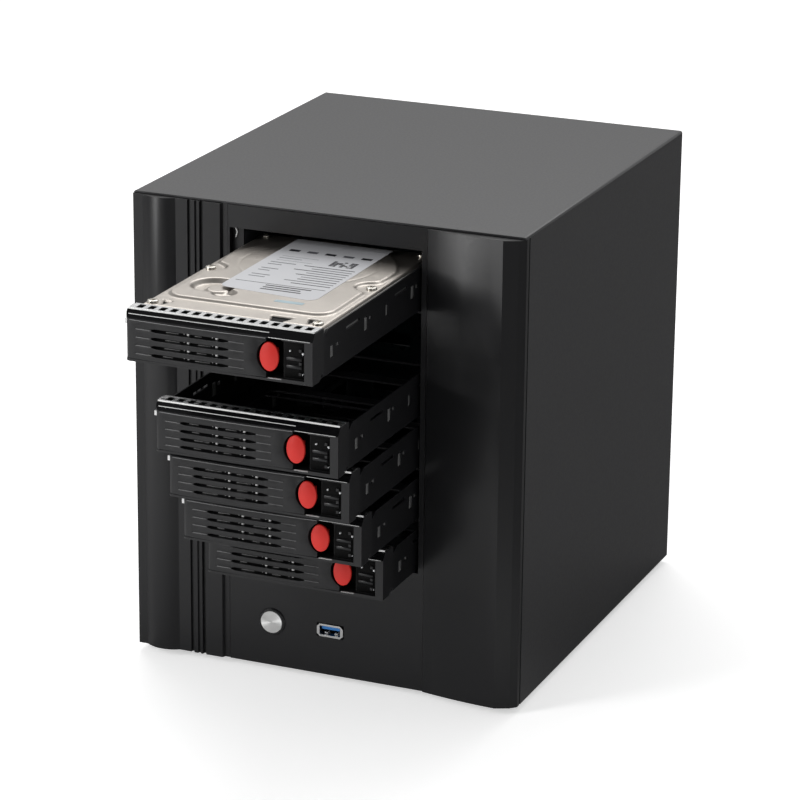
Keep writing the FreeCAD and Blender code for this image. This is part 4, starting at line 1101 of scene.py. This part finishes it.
def make_fan_blades(node, name, body, hub_radius, tip_radius, deep):
    """A fan rotor with a rounded hub and swept, twisted blades."""
    low, high = node_box(node)
    x, z = middle_of(low, high)
    bm = bmesh.new()
    place = place_at(x, low[1] + deep, z, "y")
    hub = ((1.0, 0.0, -deep), (1.0, 0.0, -1.5), (1.0, 0.45, -0.45), (1.0, 1.5, 0), (0.7, 0.0, 0),
           (0.67, 0.0, -0.4))
    add_rings(bm, [circle(hub_radius * share - less, level, 48) for share, less, level in hub], place)
    steps = 9
    across = 6
    root = hub_radius - 0.5
    for blade in range(BLADES):
        grid = []
        for i in range(steps + 1):
            share = i / steps
            radius = root + (tip_radius - root) * share
            sweep = BLADE_SWEEP * share * share
            chord = math.radians((BLADE_CHORD - BLADE_TAPER * share) / BLADES)
            line = []
            for j in range(across + 1):
                along = j / across
                angle = 2 * math.pi * blade / BLADES + sweep + chord * (along - 0.5)
                level = -deep * (0.08 + 0.84 * along) + 0.086 * deep * math.sin(math.pi * along)
                line.append(bm.verts.new(place @ Vector((radius * math.cos(angle),
                                                         radius * math.sin(angle), level))))
            grid.append(line)
        faces = [bm.faces.new((grid[i][j], grid[i + 1][j], grid[i + 1][j + 1], grid[i][j + 1]))
                 for i in range(steps) for j in range(across)]
        bmesh.ops.solidify(bm, geom=faces, thickness=0.07 * deep * MM)
    bmesh.ops.recalc_face_normals(bm, faces=bm.faces)
    piece = finish_piece(name, bm, "fan_plastic", body)
    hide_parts(node)


def make_socket_tongues():
    """Plastic tongues with gold contacts inside the rear sockets."""
    low, high = node_box("io_sockets")
    back = high[1]
    bm = bmesh.new()
    for up, tall, reach, tongues in REAR_SOCKETS:
        left = high[0] - reach + SOCKET_WALL
        right = high[0] - SOCKET_WALL
        for number in range(tongues):
            z = low[2] + up + tall * (number + 0.5) / tongues
            add_box(bm, (left, back - 11.0, z - 0.9), (right, back - 2.6, z + 0.9), 0.15)
            count = int((right - left) / PIN_PITCH)
            pitch = (right - left) / count
            for pin in range(count):
                x = left + pitch * (pin + 0.5)
                add_box(bm, (x - 0.35, back - 10.0, z + 0.85), (x + 0.35, back - 3.2, z + 1.05), 0, 1)
    finish_piece("rear_socket_tongues", bm, "socket_plastic", "chassis",
                 ("socket_plastic", "contact_gold"))


def make_rear_fasteners():
    """Screws that hold the fan, the guard and the power supply to the rear panel."""
    panel = node_box("rear_panel")[1][1]
    x, z = middle_of(*node_box("fan_guard"))
    aside = FAN_SCREW_APART / 2
    bm = bmesh.new()
    for side in (-1, 1):
        for up in (-1, 1):
            add_screw(bm, place_at(x + aside * side, panel, z + aside * up, "y"), 3.4, 1.6, 1.5)
    low, high = node_box("psu_case")
    left = low[0] - 4.5
    right = high[0] + 4.5
    for x, z in ((left, low[2] + 8), (right, low[2] + 8), (right, high[2] - 4)):
        add_screw(bm, place_at(x, panel, z, "y"), 3.0, 1.5, 1.4)
    finish_piece("rear_screws", bm, "screw_steel", "chassis")


make_camera()
make_studio()
dress_nodes()
for tray in TRAYS:
    make_release_button(tray)
    make_vent_mesh(tray)
    make_lever_lines(tray)
    make_front_trim(tray)
    make_status_window(tray)
    make_side_tabs(tray)
make_drive_cover()
make_drive_label()
make_label_bars()
make_drive_sticker()
make_drive_screws()
for fan in FANS:
    make_fan_blades(*fan)
make_socket_tongues()
make_usb_springs()
make_opening_tab()
make_rear_fasteners()
